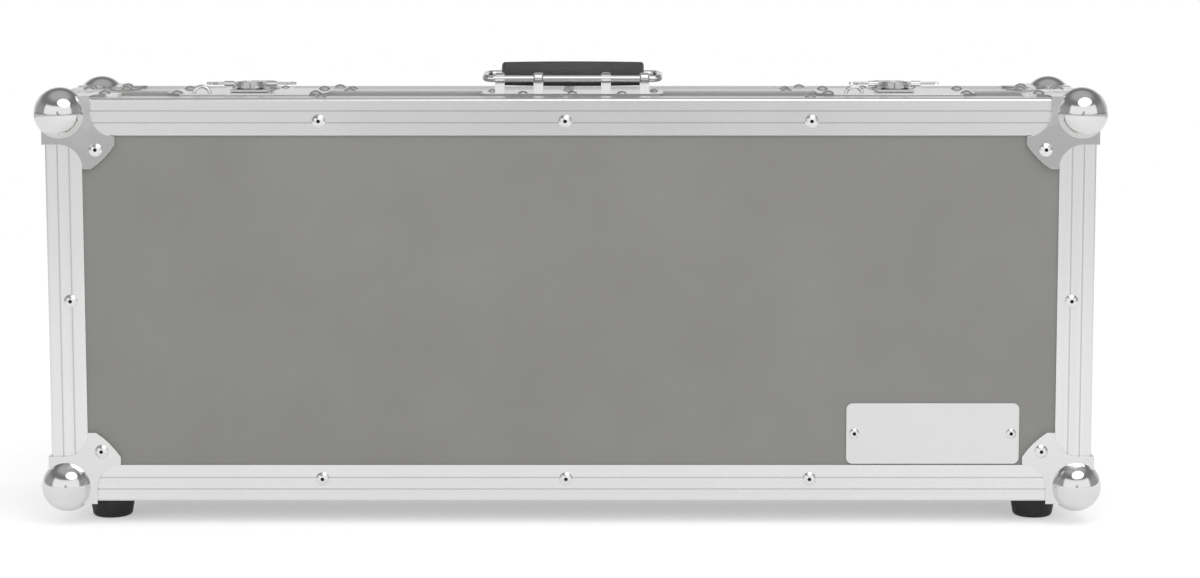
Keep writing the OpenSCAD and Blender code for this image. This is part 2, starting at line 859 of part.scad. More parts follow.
// Knuckle whose middle is at the origin, on the pivot rod's axis. A full one goes all the way round
// the rod, and an open one cups it from behind.
module knuckle(full) {
    drop = handle_pivot_up - bracket_top;
    bore = ring_rod / 2 + running_clearance;
    half = knuckle_width / 2;
    difference() {
        union() {
            rotate([0, 90, 0]) rotate_extrude() polygon([
                [0, -half],
                [knuckle_radius - knuckle_chamfer, -half],
                [knuckle_radius, -half + knuckle_chamfer],
                [knuckle_radius, half - knuckle_chamfer],
                [knuckle_radius - knuckle_chamfer, half],
                [0, half]
            ]);
            translate([-half, 0, 0]) rotate([90, 0, 90]) linear_extrude(knuckle_width) polygon([
                [-bore, -bore / 2],
                [knuckle_radius - knuckle_chamfer, -bore / 2],
                [knuckle_radius + knuckle_spread, -drop],
                [-knuckle_radius, -drop]
            ]);
        }
        rotate([0, 90, 0]) cylinder(r = bore, h = far, center = true);
        if (!full) translate([-far, -far, -bore / 2]) cube([2 * far, far, far]);
    }
}

module handle_bracket() color("gainsboro") in_base() {
    difference() {
        union() {
            on_top(0, bracket_front + bracket_depth / 2, -edging_wall) linear_extrude(bracket_sheet)
                round_rectangle(bracket_length, bracket_depth, bracket_corner);
            for (x = [-inner_knuckle, outer_knuckle])
                on_top(x, handle_pivot_back, handle_pivot_up) knuckle(true);
            for (x = [-outer_knuckle, inner_knuckle])
                on_top(x, handle_pivot_back, handle_pivot_up) knuckle(false);
        }
        at_handle_rivets() rivet_bore();
    }
}

module handle_rivets() color("lightgray") in_base() at_handle_rivets() rivet(plate_rivet_head);

// Puts a piece of the folded handle in place, drawn level with the pivot rod at the origin.
module at_pivot() {
    on_top(0, handle_pivot_back, handle_pivot_up) rotate([handle_rest, 0, 0]) children();
}

// The closed ring: pivot rod in front, two side arms, and the grip's rod at the back.
module handle_ring() color("gainsboro") in_base() at_pivot() {
    straight = ring_length / 2 - ring_bend;
    for (y = [0, ring_reach])
        translate([-straight, y, 0]) rotate([0, 90, 0]) cylinder(d = ring_rod, h = 2 * straight);
    both_sides() {
        translate([ring_length / 2, ring_bend, 0]) rotate([-90, 0, 0])
            cylinder(d = ring_rod, h = ring_reach - 2 * ring_bend);
        translate([straight, ring_bend, 0]) rotate([0, 0, -90])
            rotate_extrude(angle = 90) translate([ring_bend, 0]) circle(d = ring_rod);
        translate([straight, ring_reach - ring_bend, 0])
            rotate_extrude(angle = 90) translate([ring_bend, 0]) circle(d = ring_rod);
    }
}

module handle_grip() color([0.3, 0.3, 0.31]) in_base() at_pivot()
    translate([0, ring_reach, 0]) rotate([0, 90, 0]) {
        edge = 1.5;
        rotate_extrude() difference() {
            union() {
                translate([0, -grip_length / 2]) square([grip_diameter / 2 - edge, grip_length]);
                translate([0, -grip_length / 2 + edge]) square([grip_diameter / 2, grip_length - 2 * edge]);
                for (y = [-1, 1]) translate([grip_diameter / 2 - edge, y * (grip_length / 2 - edge)])
                    circle(r = edge);
            }
            translate([-far, -far]) square([far + ring_rod / 2 + running_clearance, 2 * far]);
        }
    }

// ---------------------------------------------------------------- latches

// Latch pieces are drawn around the hub's axis, with z = 0 at the top of the case.
module latch_plate(side) {
    clip = latch_clip;
    half = latch_plate_width / 2;
    difference() {
        at_latch(side) translate([0, 0, -edging_wall]) difference() {
            linear_extrude(edging_wall + latch_sheet) polygon([
                [-half + clip, -latch_plate_front],
                [half - clip, -latch_plate_front],
                [half, -latch_plate_front + clip],
                [half, latch_plate_rear - clip / 2],
                [half - clip / 2, latch_plate_rear],
                [-half + clip / 2, latch_plate_rear],
                [-half, latch_plate_rear - clip / 2],
                [-half, -latch_plate_front + clip]
            ]);
            translate([0, 0, -over]) cylinder(r = spindle_diameter / 2 + running_clearance, h = far);
            for (x = [-1, 1]) translate([x * (hoop_radius - hoop_wire / 2) - hoop_left, -hoop_front, -over])
                cylinder(r = hoop_wire / 2 + shank_clearance, h = far);
        }
        half_skin(base_depth);
        at_latch_rivets() rivet_bore();
    }
}

// Strap over the tongue, folded down on both sides of it.
module latch_bridge(side) {
    inner = hook_width / 2 + layer_gap;
    outer = inner + bridge_wall;
    ceiling = tongue_sheet + 2 * layer_gap;
    at_latch(side) translate([0, bridge_back, latch_sheet]) rotate([90, 0, 0])
        linear_extrude(bridge_strap, center = true) {
            translate([-outer, ceiling]) square([2 * outer, bridge_wall]);
            for (x = [-1, 1]) scale([x, 1]) {
                translate([inner, 0]) square([bridge_wall, ceiling + bridge_wall / 2]);
                polygon([
                    [inner, 0],
                    [outer + bridge_wing, 0],
                    [outer + bridge_wing, bridge_edge],
                    [outer, bridge_wall],
                    [inner, bridge_wall]
                ]);
            }
        }
}

// Turning hub: a chamfered drum, spindle through the plate, cam in the tongue's slot.
module latch_hub(side) {
    collar = spindle_diameter / 2 + spindle_collar;
    low = -edging_wall - spindle_end;
    chamfer = hub_chamfer;
    edge = hub_diameter / 2;
    at_latch(side) difference() {
        union() {
            rotate_extrude() {
                polygon([
                    [0, hub_low],
                    [edge - chamfer, hub_low],
                    [edge, hub_low + chamfer],
                    [edge, hub_top - chamfer],
                    [edge - chamfer, hub_top],
                    [0, hub_top]
                ]);
                translate([0, low]) square([spindle_diameter / 2, hub_low - low + over]);
                translate([0, low]) square([collar, spindle_collar_sheet]);
            }
            translate([0, -cam_offset, tongue_low + slack / 2])
                cylinder(r = cam_radius, h = hub_low - tongue_low);
        }
        translate([0, 0, pin_up]) rotate([0, 90, 0])
            cylinder(r = wing_pin / 2 + running_clearance, h = far, center = true);
        translate([0, 0, hub_top - hub_dish]) cylinder(r = hub_diameter / 3, h = hub_dish + over);
    }
}

module latch_pin(side) {
    at_latch(side) translate([0, 0, pin_up]) rotate([0, 90, 0])
        cylinder(d = wing_pin, h = 2 * (wing_inner + pin_end), center = true);
}

// Butterfly wing: one sheet that passes round the hub, with a rolled barrel on each side.
module latch_wing(side) {
    lobe_x = wing_span / 2 - wing_lobe;
    barrel_length = 8;
    at_latch(side) difference() {
        union() {
            translate([0, 0, wing_low]) linear_extrude(wing_sheet) {
                for (x = [-1, 1]) translate([x * lobe_x, wing_lobe - wing_front]) circle(r = wing_lobe);
                translate([-lobe_x, -wing_front]) square([2 * lobe_x, 2 * wing_lobe]);
                intersection() {
                    circle(r = wing_reach);
                    translate([-far, -wing_front]) square([2 * far, far]);
                }
            }
            for (x = [-1, 1]) translate([x * (wing_inner + 1 + barrel_length / 2), 0, pin_up])
                rotate([0, 90, 0]) cylinder(r = wing_barrel, h = barrel_length, center = true);
        }
        translate([0, 0, wing_low - over]) cylinder(r = wing_inner, h = wing_sheet + 2 * over);
        translate([0, 0, pin_up]) rotate([0, 90, 0])
            cylinder(r = wing_pin / 2 + running_clearance, h = far, center = true);
    }
}

// Sliding tongue: a slotted yoke around the cam, a strip, and a raised hook over the keeper.
module latch_tongue(side) {
    yoke_width = cam_slot_length + 2 * yoke_rail;
    yoke_end = cam_slot / 2 - cam_offset + yoke_rail;
    yoke_start = -cam_slot / 2 - cam_offset - yoke_rail;
    riser = bridge_back + bridge_strap / 2 + 2 * layer_gap;
    raised = hook_low + hook_tip;
    at_latch(side) {
        translate([0, 0, tongue_low]) linear_extrude(tongue_sheet) difference() {
            union() {
                translate([-yoke_width / 2, yoke_start]) square([yoke_width, yoke_end - yoke_start]);
                translate([-hook_width / 2, yoke_end - 1]) square([hook_width, riser - yoke_end + 1 + hook_wall]);
            }
            translate([-cam_slot_length / 2, -cam_slot / 2 - cam_offset]) square([cam_slot_length, cam_slot]);
        }
        translate([-hook_width / 2, 0, 0]) rotate([90, 0, 90]) linear_extrude(hook_width) polygon([
            [riser, tongue_low],
            [riser + hook_wall, tongue_low],
            [riser + hook_wall, raised],
            [hook_end - hook_wall, raised],
            [hook_end - hook_wall, hook_low],
            [hook_end, hook_low],
            [hook_end, raised + tongue_sheet - hook_bend],
            [hook_end - hook_bend, raised + tongue_sheet],
            [riser + hook_bend, raised + tongue_sheet],
            [riser, raised + tongue_sheet - hook_bend]
        ]);
    }
}

module latch_hoop(side) {
    centre = hoop_radius - hoop_wire / 2;
    at_latch(side) translate([-hoop_left, -hoop_front, hoop_centre_up]) {
        rotate([90, 0, 0]) rotate_extrude(angle = 180) translate([centre, 0]) circle(d = hoop_wire);
        for (x = [-1, 1]) translate([x * centre, 0, -hoop_centre_up - edging_wall + slack])
            cylinder(d = hoop_wire, h = hoop_centre_up + edging_wall - slack);
    }
}

// Keeper on the lid's rim: a riveted plate with an upturned lip.
module latch_keeper(side) {
    lip_width = hook_width + 8;
    difference() {
        on_top(side * latch_across, lid_depth - parting_gap / 2) mirror([0, 1, 0]) {
            linear_extrude(brace_sheet) polygon([
                [-keeper_width / 2, keeper_front],
                [keeper_width / 2, keeper_front],
                [keeper_width / 2, brace_width - keeper_clip],
                [keeper_width / 2 - keeper_clip, brace_width],
                [-keeper_width / 2 + keeper_clip, brace_width],
                [-keeper_width / 2, brace_width - keeper_clip]
            ]);
            translate([-lip_width / 2, 0, 0]) rotate([90, 0, 90]) linear_extrude(lip_width) polygon([
                [lip_back - lip_foot, 0],
                [lip_back + lip_foot, 0],
                [lip_back + lip_tip / 3, brace_sheet + lip_height],
                [lip_back - lip_tip, brace_sheet + lip_height]
            ]);
        }
        at_keeper_rivets() rivet_bore();
    }
}

module latch_left_plate() color("gainsboro") in_base() latch_plate(-1);
module latch_left_bridge() color("gainsboro") in_base() latch_bridge(-1);
module latch_left_hub() color("silver") in_base() latch_hub(-1);
module latch_left_pin() color("silver") in_base() latch_pin(-1);
module latch_left_wing() color("gainsboro") in_base() latch_wing(-1);
module latch_left_tongue() color("silver") in_base() latch_tongue(-1);
module latch_left_hoop() color("gainsboro") in_base() latch_hoop(-1);
module latch_left_keeper() color("gainsboro") in_lid() latch_keeper(-1);
module latch_right_plate() color("gainsboro") in_base() latch_plate(1);
module latch_right_bridge() color("gainsboro") in_base() latch_bridge(1);
module latch_right_hub() color("silver") in_base() latch_hub(1);
module latch_right_pin() color("silver") in_base() latch_pin(1);
module latch_right_wing() color("gainsboro") in_base() latch_wing(1);
module latch_right_tongue() color("silver") in_base() latch_tongue(1);
module latch_right_hoop() color("gainsboro") in_base() latch_hoop(1);
module latch_right_keeper() color("gainsboro") in_lid() latch_keeper(1);

module latch_rivets() color("lightgray") in_base() at_latch_rivets() rivet();
module keeper_rivets() color("lightgray") in_lid() at_keeper_rivets() rivet(plate_rivet_head);

// ---------------------------------------------------------------- hinges

// Leaf on the underside of a half, with the knuckles whose numbers are given.
module hinge_leaf_shape(depth, mine, others) {
    for (x = hinge_xs) translate([x, depth, body_bottom]) difference() {
        union() {
            translate([-hinge_length / 2, -hinge_leaf, -hinge_sheet])
                cube([hinge_length, hinge_leaf - parting_gap / 2, hinge_sheet]);
            for (i = mine) translate([knuckle_start(i), 0, 0]) rotate([90, 0, 90])
                linear_extrude(knuckle_run) {
                    translate([0, -hinge_drop]) circle(d = hinge_barrel);
                    polygon([
                        [-hinge_barrel, -hinge_sheet / 2],
                        [-parting_gap / 2, -hinge_sheet / 2],
                        [-parting_gap / 2, -hinge_drop],
                        [-hinge_barrel / 2, -hinge_drop]
                    ]);
                }
        }
        for (i = others)
            translate([knuckle_start(i) - knuckle_gap, -hinge_barrel / 2 - knuckle_gap, -2 * hinge_drop])
                cube([knuckle_run + 2 * knuckle_gap, hinge_barrel, 3 * hinge_drop]);
        translate([0, 0, -hinge_drop]) rotate([0, 90, 0])
            cylinder(r = hinge_pin / 2 + running_clearance, h = 2 * hinge_length, center = true);
    }
}

module hinge_base_leaves() color("silver") in_base() difference() {
    hinge_leaf_shape(base_depth, [0, 2, 4], [1, 3]);
    at_hinge_rivets(base_depth) rivet_bore();
}

module hinge_lid_leaves() color("silver") in_lid() difference() {
    hinge_leaf_shape(lid_depth, [1, 3], [0, 2, 4]);
    at_hinge_rivets(lid_depth) rivet_bore();
}

module hinge_pins() color("silver") in_base()
    for (x = hinge_xs) translate([x, base_depth, body_bottom - hinge_drop]) rotate([0, 90, 0])
        cylinder(d = hinge_pin, h = hinge_length + 1, center = true);

// ---------------------------------------------------------------- lid nodes

module lid_face_panel() color("dimgray") in_lid() difference() {
    face_panel();
    at_edging_rivets() rivet_bore();
    at_corner_rivets() rivet_bore();
}

module lid_top_panel() color("dimgray") in_lid() difference() {
    top_panel(lid_depth);
    at_lid_rivets() rivet_bore();
    at_keeper_rivets() rivet_bore();
}

module lid_bottom_panel() color("dimgray") in_lid() difference() {
    bottom_panel(lid_depth);
    at_lid_rivets() rivet_bore();
    at_hinge_rivets(lid_depth) rivet_bore();
    at_feet() screw_bore();
}

module lid_left_panel() color("dimgray") in_lid() difference() {
    left_panel(lid_depth);
    at_lid_rivets() rivet_bore();
}

module lid_right_panel() color("dimgray") in_lid() difference() {
    right_panel(lid_depth);
    at_lid_rivets() rivet_bore();
}

module lid_face_edging() color("silver") in_lid() face_edging_lengths();
module lid_corner_edging() color("silver") in_lid() corner_edging_lengths(lid_depth);

module lid_rim() color("silver") in_lid() difference() {
    rim_lengths(lid_depth) lid_rim_section();
    at_rim_rivets(lid_depth) rivet_bore();
    at_brace_rivets(lid_depth, [lid_brace_rivet]) rivet_bore();
    at_keeper_rivets() rivet_bore();
    at_corner_rivets() rivet_bore();
    at_feet() screw_bore();
    at_hinge_rivets(lid_depth) rivet_bore();
}

module lid_lining() color([0.13, 0.13, 0.14]) in_lid() lining(lid_depth);
module back_ball_corners() color("gainsboro") in_lid() ball_corners(lid_depth);

module lid_corner_braces() color("gainsboro") in_lid() corner_braces(lid_depth, lid_brace_length)
    at_brace_rivets(lid_depth, [lid_brace_rivet]) rivet_bore();

module lid_rivets() color("lightgray") in_lid() {
    at_lid_rivets() rivet();
    at_hinge_rivets(lid_depth) rivet();
}

base_face_panel();
base_top_panel();
base_bottom_panel();
base_left_panel();
base_right_panel();
base_face_edging();
base_corner_edging();
base_rim();
base_lining();
front_ball_corners();
base_corner_braces();
base_rivets();
name_plate();
name_plate_rivets();
base_feet();
base_foot_screws();
handle_bracket();
handle_rivets();
handle_ring();
handle_grip();
latch_left_plate();
latch_left_bridge();
latch_left_hub();
latch_left_pin();
latch_left_wing();
latch_left_tongue();
latch_left_hoop();
latch_left_keeper();
latch_right_plate();
latch_right_bridge();
latch_right_hub();
latch_right_pin();
latch_right_wing();
latch_right_tongue();
latch_right_hoop();
latch_right_keeper();
latch_rivets();
keeper_rivets();
hinge_base_leaves();
hinge_pins();
hinge_lid_leaves();
lid_face_panel();
lid_top_panel();
lid_bottom_panel();
lid_left_panel();
lid_right_panel();
lid_face_edging();
lid_corner_edging();
lid_rim();
lid_lining();
back_ball_corners();
lid_corner_braces();
lid_rivets();
lid_feet();
lid_foot_screws();
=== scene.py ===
"""Looks for the guitar pedal case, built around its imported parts.

Everything is in metres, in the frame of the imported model: +X runs along the case to the right,
the front panel faces -Y, the parting line between the halves lies at y = 0.0315, and the case
stands on the floor at z = 0.
"""

import logging
import math
from dataclasses import dataclass, field
from enum import Enum
from typing import Callable

import bmesh
import bpy
import numpy as np
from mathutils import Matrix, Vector


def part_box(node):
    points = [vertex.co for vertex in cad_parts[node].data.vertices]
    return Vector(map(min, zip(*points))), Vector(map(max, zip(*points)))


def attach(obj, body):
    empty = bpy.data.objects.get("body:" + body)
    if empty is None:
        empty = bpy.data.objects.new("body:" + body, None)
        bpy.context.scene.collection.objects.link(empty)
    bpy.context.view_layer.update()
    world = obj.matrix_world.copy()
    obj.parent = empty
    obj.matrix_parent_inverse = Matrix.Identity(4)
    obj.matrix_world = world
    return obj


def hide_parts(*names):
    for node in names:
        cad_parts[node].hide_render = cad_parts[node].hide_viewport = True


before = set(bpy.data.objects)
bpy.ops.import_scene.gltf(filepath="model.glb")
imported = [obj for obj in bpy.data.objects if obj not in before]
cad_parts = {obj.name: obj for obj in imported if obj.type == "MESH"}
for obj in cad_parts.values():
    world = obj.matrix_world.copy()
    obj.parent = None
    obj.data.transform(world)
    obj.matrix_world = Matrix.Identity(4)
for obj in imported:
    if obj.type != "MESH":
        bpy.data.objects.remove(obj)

log = logging.getLogger("pedal_case")

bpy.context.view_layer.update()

Colour = tuple[float, float, float]
Place = tuple[float, float, float]


# ------------------------------------------------------------------ shader writing


class Value:
    """A number that varies over a surface, written with ordinary arithmetic."""

    def __init__(self, tree: "NodeTree", socket: bpy.types.NodeSocket) -> None:
        """Wraps a socket.

        Args:
            tree: The node tree that new Math nodes go into.
            socket: The output that carries the number.
        """
        self.tree = tree
        self.socket = socket

    def _math(self, operation: str, *others: object, clamp: bool = False) -> "Value":
        """Adds a Math node.

        Args:
            operation: Name of the Math operation.
            others: Further inputs, numbers or values.
            clamp: Whether the result is kept between 0 and 1.

        Returns:
            The node's result.
        """
        sockets = dict(enumerate((self, *others)))
        node = self.tree.node("ShaderNodeMath", {"operation": operation, "use_clamp": clamp}, sockets)
        return Value(self.tree, node.outputs[0])

    def __add__(self, other: object) -> "Value":
        """Sum."""
        return self._math("ADD", other)

    def __radd__(self, other: object) -> "Value":
        """Sum with a number in front."""
        return self._math("ADD", other)

    def __sub__(self, other: object) -> "Value":
        """Difference."""
        return self._math("SUBTRACT", other)

    def __rsub__(self, other: object) -> "Value":
        """Difference from a number in front."""
        return (self * -1.0) + other

    def __mul__(self, other: object) -> "Value":
        """Product."""
        return self._math("MULTIPLY", other)

    def __rmul__(self, other: object) -> "Value":
        """Product with a number in front."""
        return self._math("MULTIPLY", other)

    def __truediv__(self, other: object) -> "Value":
        """Quotient."""
        return self._math("DIVIDE", other)

    def __rtruediv__(self, other: object) -> "Value":
        """Quotient of a number in front."""
        return self._math("POWER", -1.0) * other

    def __abs__(self) -> "Value":
        """Size without sign."""
        return self._math("ABSOLUTE")

    def below(self, other: object) -> "Value":
        """1 where this is less than the other, else 0."""
        return self._math("LESS_THAN", other)

    def lesser(self, other: object) -> "Value":
        """The smaller of two."""
        return self._math("MINIMUM", other)

    def greater(self, other: object) -> "Value":
        """The larger of two."""
        return self._math("MAXIMUM", other)

    def root(self) -> "Value":
        """Square root."""
        return self._math("SQRT")

    def kept(self) -> "Value":
        """The value kept between 0 and 1."""
        return self._math("ADD", 0.0, clamp=True)

    def rise(self, start: float, end: float) -> "Value":
        """A smooth step.

        Args:
            start: Where the step begins, at 0.
            end: Where it has reached 1. It may lie below start.

        Returns:
            A value from 0 to 1.
        """
        t = ((self - start) / (end - start)).kept()
        return t * t * (3.0 - 2.0 * t)


class NodeTree:
    """Builds the nodes of a material or of the world."""

    def __init__(self, owner: bpy.types.ID) -> None:
        """Empties the owner's node tree.

        Args:
            owner: A material or a world.
        """
        owner.use_nodes = True
        self.tree = owner.node_tree
        self.tree.nodes.clear()

    def node(self, kind: str, settings: dict | None = None, sockets: dict | None = None) -> bpy.types.Node:
        """Adds a node.

        Args:
            kind: The node's type.
            settings: Its settings, set first.
            sockets: Numbers, colours or links for its inputs, by name or place.

        Returns:
            The new node.
        """
        node = self.tree.nodes.new(kind)
        for key, setting in (settings or {}).items():
            setattr(node, key, setting)
        for key, given in (sockets or {}).items():
            socket = node.inputs[key]
            if isinstance(given, Value):
                self.tree.links.new(given.socket, socket)
            elif isinstance(given, bpy.types.NodeSocket):
                self.tree.links.new(given, socket)
            elif isinstance(given, tuple) and len(given) == 3 and socket.type == "RGBA":
                socket.default_value = (*given, 1.0)
            else:
                socket.default_value = given
        return node

    def where(self) -> bpy.types.NodeSocket:
        """Object coordinates."""
        return self.node("ShaderNodeTexCoord").outputs["Object"]

    def parts(self, vector: bpy.types.NodeSocket) -> tuple[Value, Value, Value]:
        """A vector's x, y and z."""
        x, y, z = self.node("ShaderNodeSeparateXYZ", None, {0: vector}).outputs
        return Value(self, x), Value(self, y), Value(self, z)

    def rays(self) -> tuple[Value, Value]:
        """1 for the camera's rays, and 1 for rays that metal mirrors or glass lets through."""
        path = self.node("ShaderNodeLightPath")
        mirrored = Value(self, path.outputs["Is Glossy Ray"])
        through = Value(self, path.outputs["Is Transmission Ray"])
        return Value(self, path.outputs["Is Camera Ray"]), mirrored.greater(through)

    def stretched(self, coordinates: bpy.types.NodeSocket, scale: Place) -> bpy.types.NodeSocket:
        """Coordinates multiplied axis by axis."""
        settings = {"operation": "MULTIPLY"}
        return self.node("ShaderNodeVectorMath", settings, {0: coordinates, 1: scale}).outputs[0]

    def noise(self, coordinates: bpy.types.NodeSocket, scale: float,
              detail: float = 3.0, rough: float = 0.5) -> Value:
        """Cloudy noise from 0 to 1.

        Args:
            coordinates: The vector it reads.
            scale: Cells per metre.
            detail: Number of finer octaves.
            rough: Strength of the finer octaves.

        Returns:
            The noise.
        """
        sockets = {"Vector": coordinates, "Scale": scale, "Detail": detail, "Roughness": rough}
        return Value(self, self.node("ShaderNodeTexNoise", None, sockets).outputs[0])

    def cells(self, coordinates: bpy.types.NodeSocket, scale: float) -> Value:
        """Distance to the nearest point of a cell pattern."""
        node = self.node("ShaderNodeTexVoronoi", {"feature": "F1"}, {"Vector": coordinates, "Scale": scale})
        return Value(self, node.outputs["Distance"])

    def mixed(self, share: object, first: object, second: object) -> bpy.types.NodeSocket:
        """A colour between two colours."""
        node = self.node("ShaderNodeMix", {"data_type": "RGBA"}, {0: share, 6: first, 7: second})
        return node.outputs[2]

    def bump(self, height: Value, depth: float, strength: float,
             normal: bpy.types.NodeSocket | None = None) -> bpy.types.NodeSocket:
        """A bumped normal.

        Args:
            height: The relief, from 0 to 1.
            depth: Real depth of the relief in metres.
            strength: Share of the relief that shows.
            normal: A normal to start from.

        Returns:
            The normal.
        """
        sockets: dict = {"Height": height, "Distance": depth, "Strength": strength}
        if normal is not None:
            sockets["Normal"] = normal
        return self.node("ShaderNodeBump", None, sockets).outputs[0]

    def eased(self, radius: float) -> bpy.types.NodeSocket:
        """A normal that eases over sharp edges, as a broken edge does."""
        return self.node("ShaderNodeBevel", {"samples": 6}, {"Radius": radius}).outputs[0]


# ------------------------------------------------------------------ finishes


class Look(Enum):
    """The case's finishes, by the name of their material."""

    LAMINATE = "panel_laminate"
    EDGING = "edging_ring"
    SHORT_EDGING = "edging_short"
    CORNER_CHROME = "corner_chrome"
    HARDWARE_CHROME = "hardware_chrome"
    RIVET = "rivet_aluminium"
    ZINC = "zinc_steel"
    # Painted shade, near-black, for the faces inside the rivets' bores.
    MANDREL = "mandrel_end"
    PLATE = "name_plate_aluminium"
    FOOT = "foot_rubber"
    GRIP = "grip_rubber"
    FOAM = "foam_charcoal"


class Grain(Enum):
    """Which way the drawing lines of an extrusion run."""

    ALONG_Y = "y"
    MITRED_RING = "ring"


class Finish(NodeTree):
    """A principled material in the making."""

    def __init__(self, look: Look, **constants: object) -> None:
        """Starts a material.

        Args:
            look: The finish it is for, which names it.
            constants: Plain values for the shader's own sockets, with _ for a blank.
        """
        self.material = bpy.data.materials.new(look.value)
        super().__init__(self.material)
        self.shader = self.node("ShaderNodeBsdfPrincipled")
        self.node("ShaderNodeOutputMaterial", None, {0: self.shader.outputs[0]})
        for key, value in constants.items():
            self.shader.inputs[key.replace("_", " ")].default_value = value

    def feed(self, **inputs: object) -> bpy.types.Material:
        """Links what varies to the shader.

        Args:
            inputs: Values, colours or normals by socket name, with _ for a blank.

        Returns:
            The finished material.
        """
        for key, given in inputs.items():
            socket = given.socket if isinstance(given, Value) else given
            self.tree.links.new(socket, self.shader.inputs[key.replace("_", " ")])
        return self.material


@dataclass(frozen=True)
class Laminate:
    """Grey laminate on plywood: a fine pebbled skin with faint clouding and rubbed spots.

    Pebbles, flecks, clouds and rubs are cells per metre.
    """

    look: Look = Look.LAMINATE
    colour: Colour = (0.280, 0.276, 0.266)
    pale: Colour = (0.312, 0.308, 0.297)
    roughness: float = 0.5
    pebbles: float = 1500.0
    flecks: float = 5200.0
    clouds: float = 9.0
    rubs: float = 24.0
    relief: float = 0.00012

    def make(self) -> bpy.types.Material:
        """Builds the material."""
        made = Finish(self.look, Specular_IOR_Level=0.35)
        where = made.where()
        pebble = made.noise(where, self.pebbles, 2.0, 0.6)
        cloud = made.noise(where, self.clouds, 4.0, 0.6)
        fleck = made.noise(where, self.flecks, 1.0, 0.5)
        rub = made.noise(made.stretched(where, (1.0, 1.0, 7.0)), self.rubs, 5.0, 0.7).rise(0.62, 0.78)
        tone = (cloud.rise(0.3, 0.72) * 0.7 + fleck * 0.35).kept()
        colour = made.mixed(tone, self.colour, self.pale)
        rough = self.roughness + 0.1 * cloud - 0.12 * rub + 0.06 * pebble
        height = pebble * 0.8 + fleck * 0.2
        return made.feed(Base_Color=colour, Roughness=rough, Normal=made.bump(height, self.relief, 0.55))


@dataclass(frozen=True)
class Outline:
    """The outer faces of the edging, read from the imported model."""

    half_width: float
    half_depth: float
    half_height: float
    middle_z: float

    @classmethod
    def read(cls) -> "Outline":
        """Measures the front half's face edging, which reaches the case's front, top and ends."""
        low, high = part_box("base_face_edging")
        return cls(high.x, -low.y, (high.z - low.z) / 2, (high.z + low.z) / 2)


@dataclass(frozen=True)
class Extrusion:
    """Satin aluminium extrusion: drawing lines, faint clouding, and painted shade in the grooves.

    Broad, narrow, along and haze are cells per metre. Grooves are the distances of the grooves'
    middles from the outer corner, and groove_edge is where the painted groove shade begins to thin and ends.
    """

    look: Look
    grain: Grain
    outline: Outline
    colour: Colour = (0.90, 0.90, 0.895)
    worn: Colour = (0.80, 0.80, 0.80)
    # Painted shade in the grooves: its colour and its share.
    groove_shade_colour: Colour = (0.55, 0.55, 0.545)
    groove_shade_share: float = 0.7
    roughness: float = 0.27
    grooves: tuple[float, float] = (0.01015, 0.01965)
    groove_edge: tuple[float, float] = (0.00045, 0.0007)
    broad: float = 85.0
    narrow: float = 230.0
    along: float = 0.3
    haze: float = 14.0
    relief: float = 0.000002

    def insets(self, x: Value, z: Value) -> tuple[Value, Value]:
        """Distances from the nearer end and from the nearer long side of the case."""
        return self.outline.half_width - abs(x), self.outline.half_height - abs(z - self.outline.middle_z)

    def painted_groove_shade(self, made: Finish) -> Value:
        """Painted shade in the grooves, found by their distance from the outer corner.

        Args:
            made: The material in the making.

        Returns:
            1 in the grooves, else 0.
        """
        x, y, z = made.parts(made.where())
        from_end, from_long = self.insets(x, z)
        if self.grain is Grain.ALONG_Y:
            away = from_end.greater(from_long)
        else:
            away = from_end.lesser(from_long).greater(self.outline.half_depth - abs(y))
        thins, ends = self.groove_edge
        first, second = (1.0 - abs(away - groove).rise(thins, ends) for groove in self.grooves)
        return first + second

    def lines(self, made: Finish, across: float) -> Value:
        """Noise drawn out along the length.

        Args:
            made: The material in the making.
            across: Lines per metre across the length.

        Returns:
            Streaks from 0 to 1.
        """
        where = made.where()
        if self.grain is Grain.ALONG_Y:
            return made.noise(made.stretched(where, (across, self.along, across)), 1.0, 0.0)
        flat = made.noise(made.stretched(where, (self.along, across, across)), 1.0, 0.0)
        upright = made.noise(made.stretched(where, (across, across, self.along)), 1.0, 0.0)
        x, _, z = made.parts(where)
        from_end, from_long = self.insets(x, z)
        is_end = from_end.below(from_long)
        return upright * is_end + flat * (1.0 - is_end)

    def make(self) -> bpy.types.Material:
        """Builds the material."""
        made = Finish(self.look, Metallic=1.0)
        broad = self.lines(made, self.broad)
        narrow = self.lines(made, self.narrow)
        haze = made.noise(made.where(), self.haze, 4.0, 0.55)
        mottle = (broad.rise(0.3, 0.7) * 0.15 + narrow.rise(0.3, 0.7) * 0.2 + haze * 0.3).kept()
        drawn = made.mixed(mottle, self.colour, self.worn)
        # Painted shade: the colour is darkened in the grooves.
        colour = made.mixed(self.painted_groove_shade(made) * self.groove_shade_share, drawn, self.groove_shade_colour)
        rough = self.roughness + 0.02 * (broad - 0.5) + 0.04 * (narrow - 0.5) + 0.08 * (haze - 0.5)
        return made.feed(Base_Color=colour, Roughness=rough, Normal=made.bump(narrow, self.relief, 0.2))


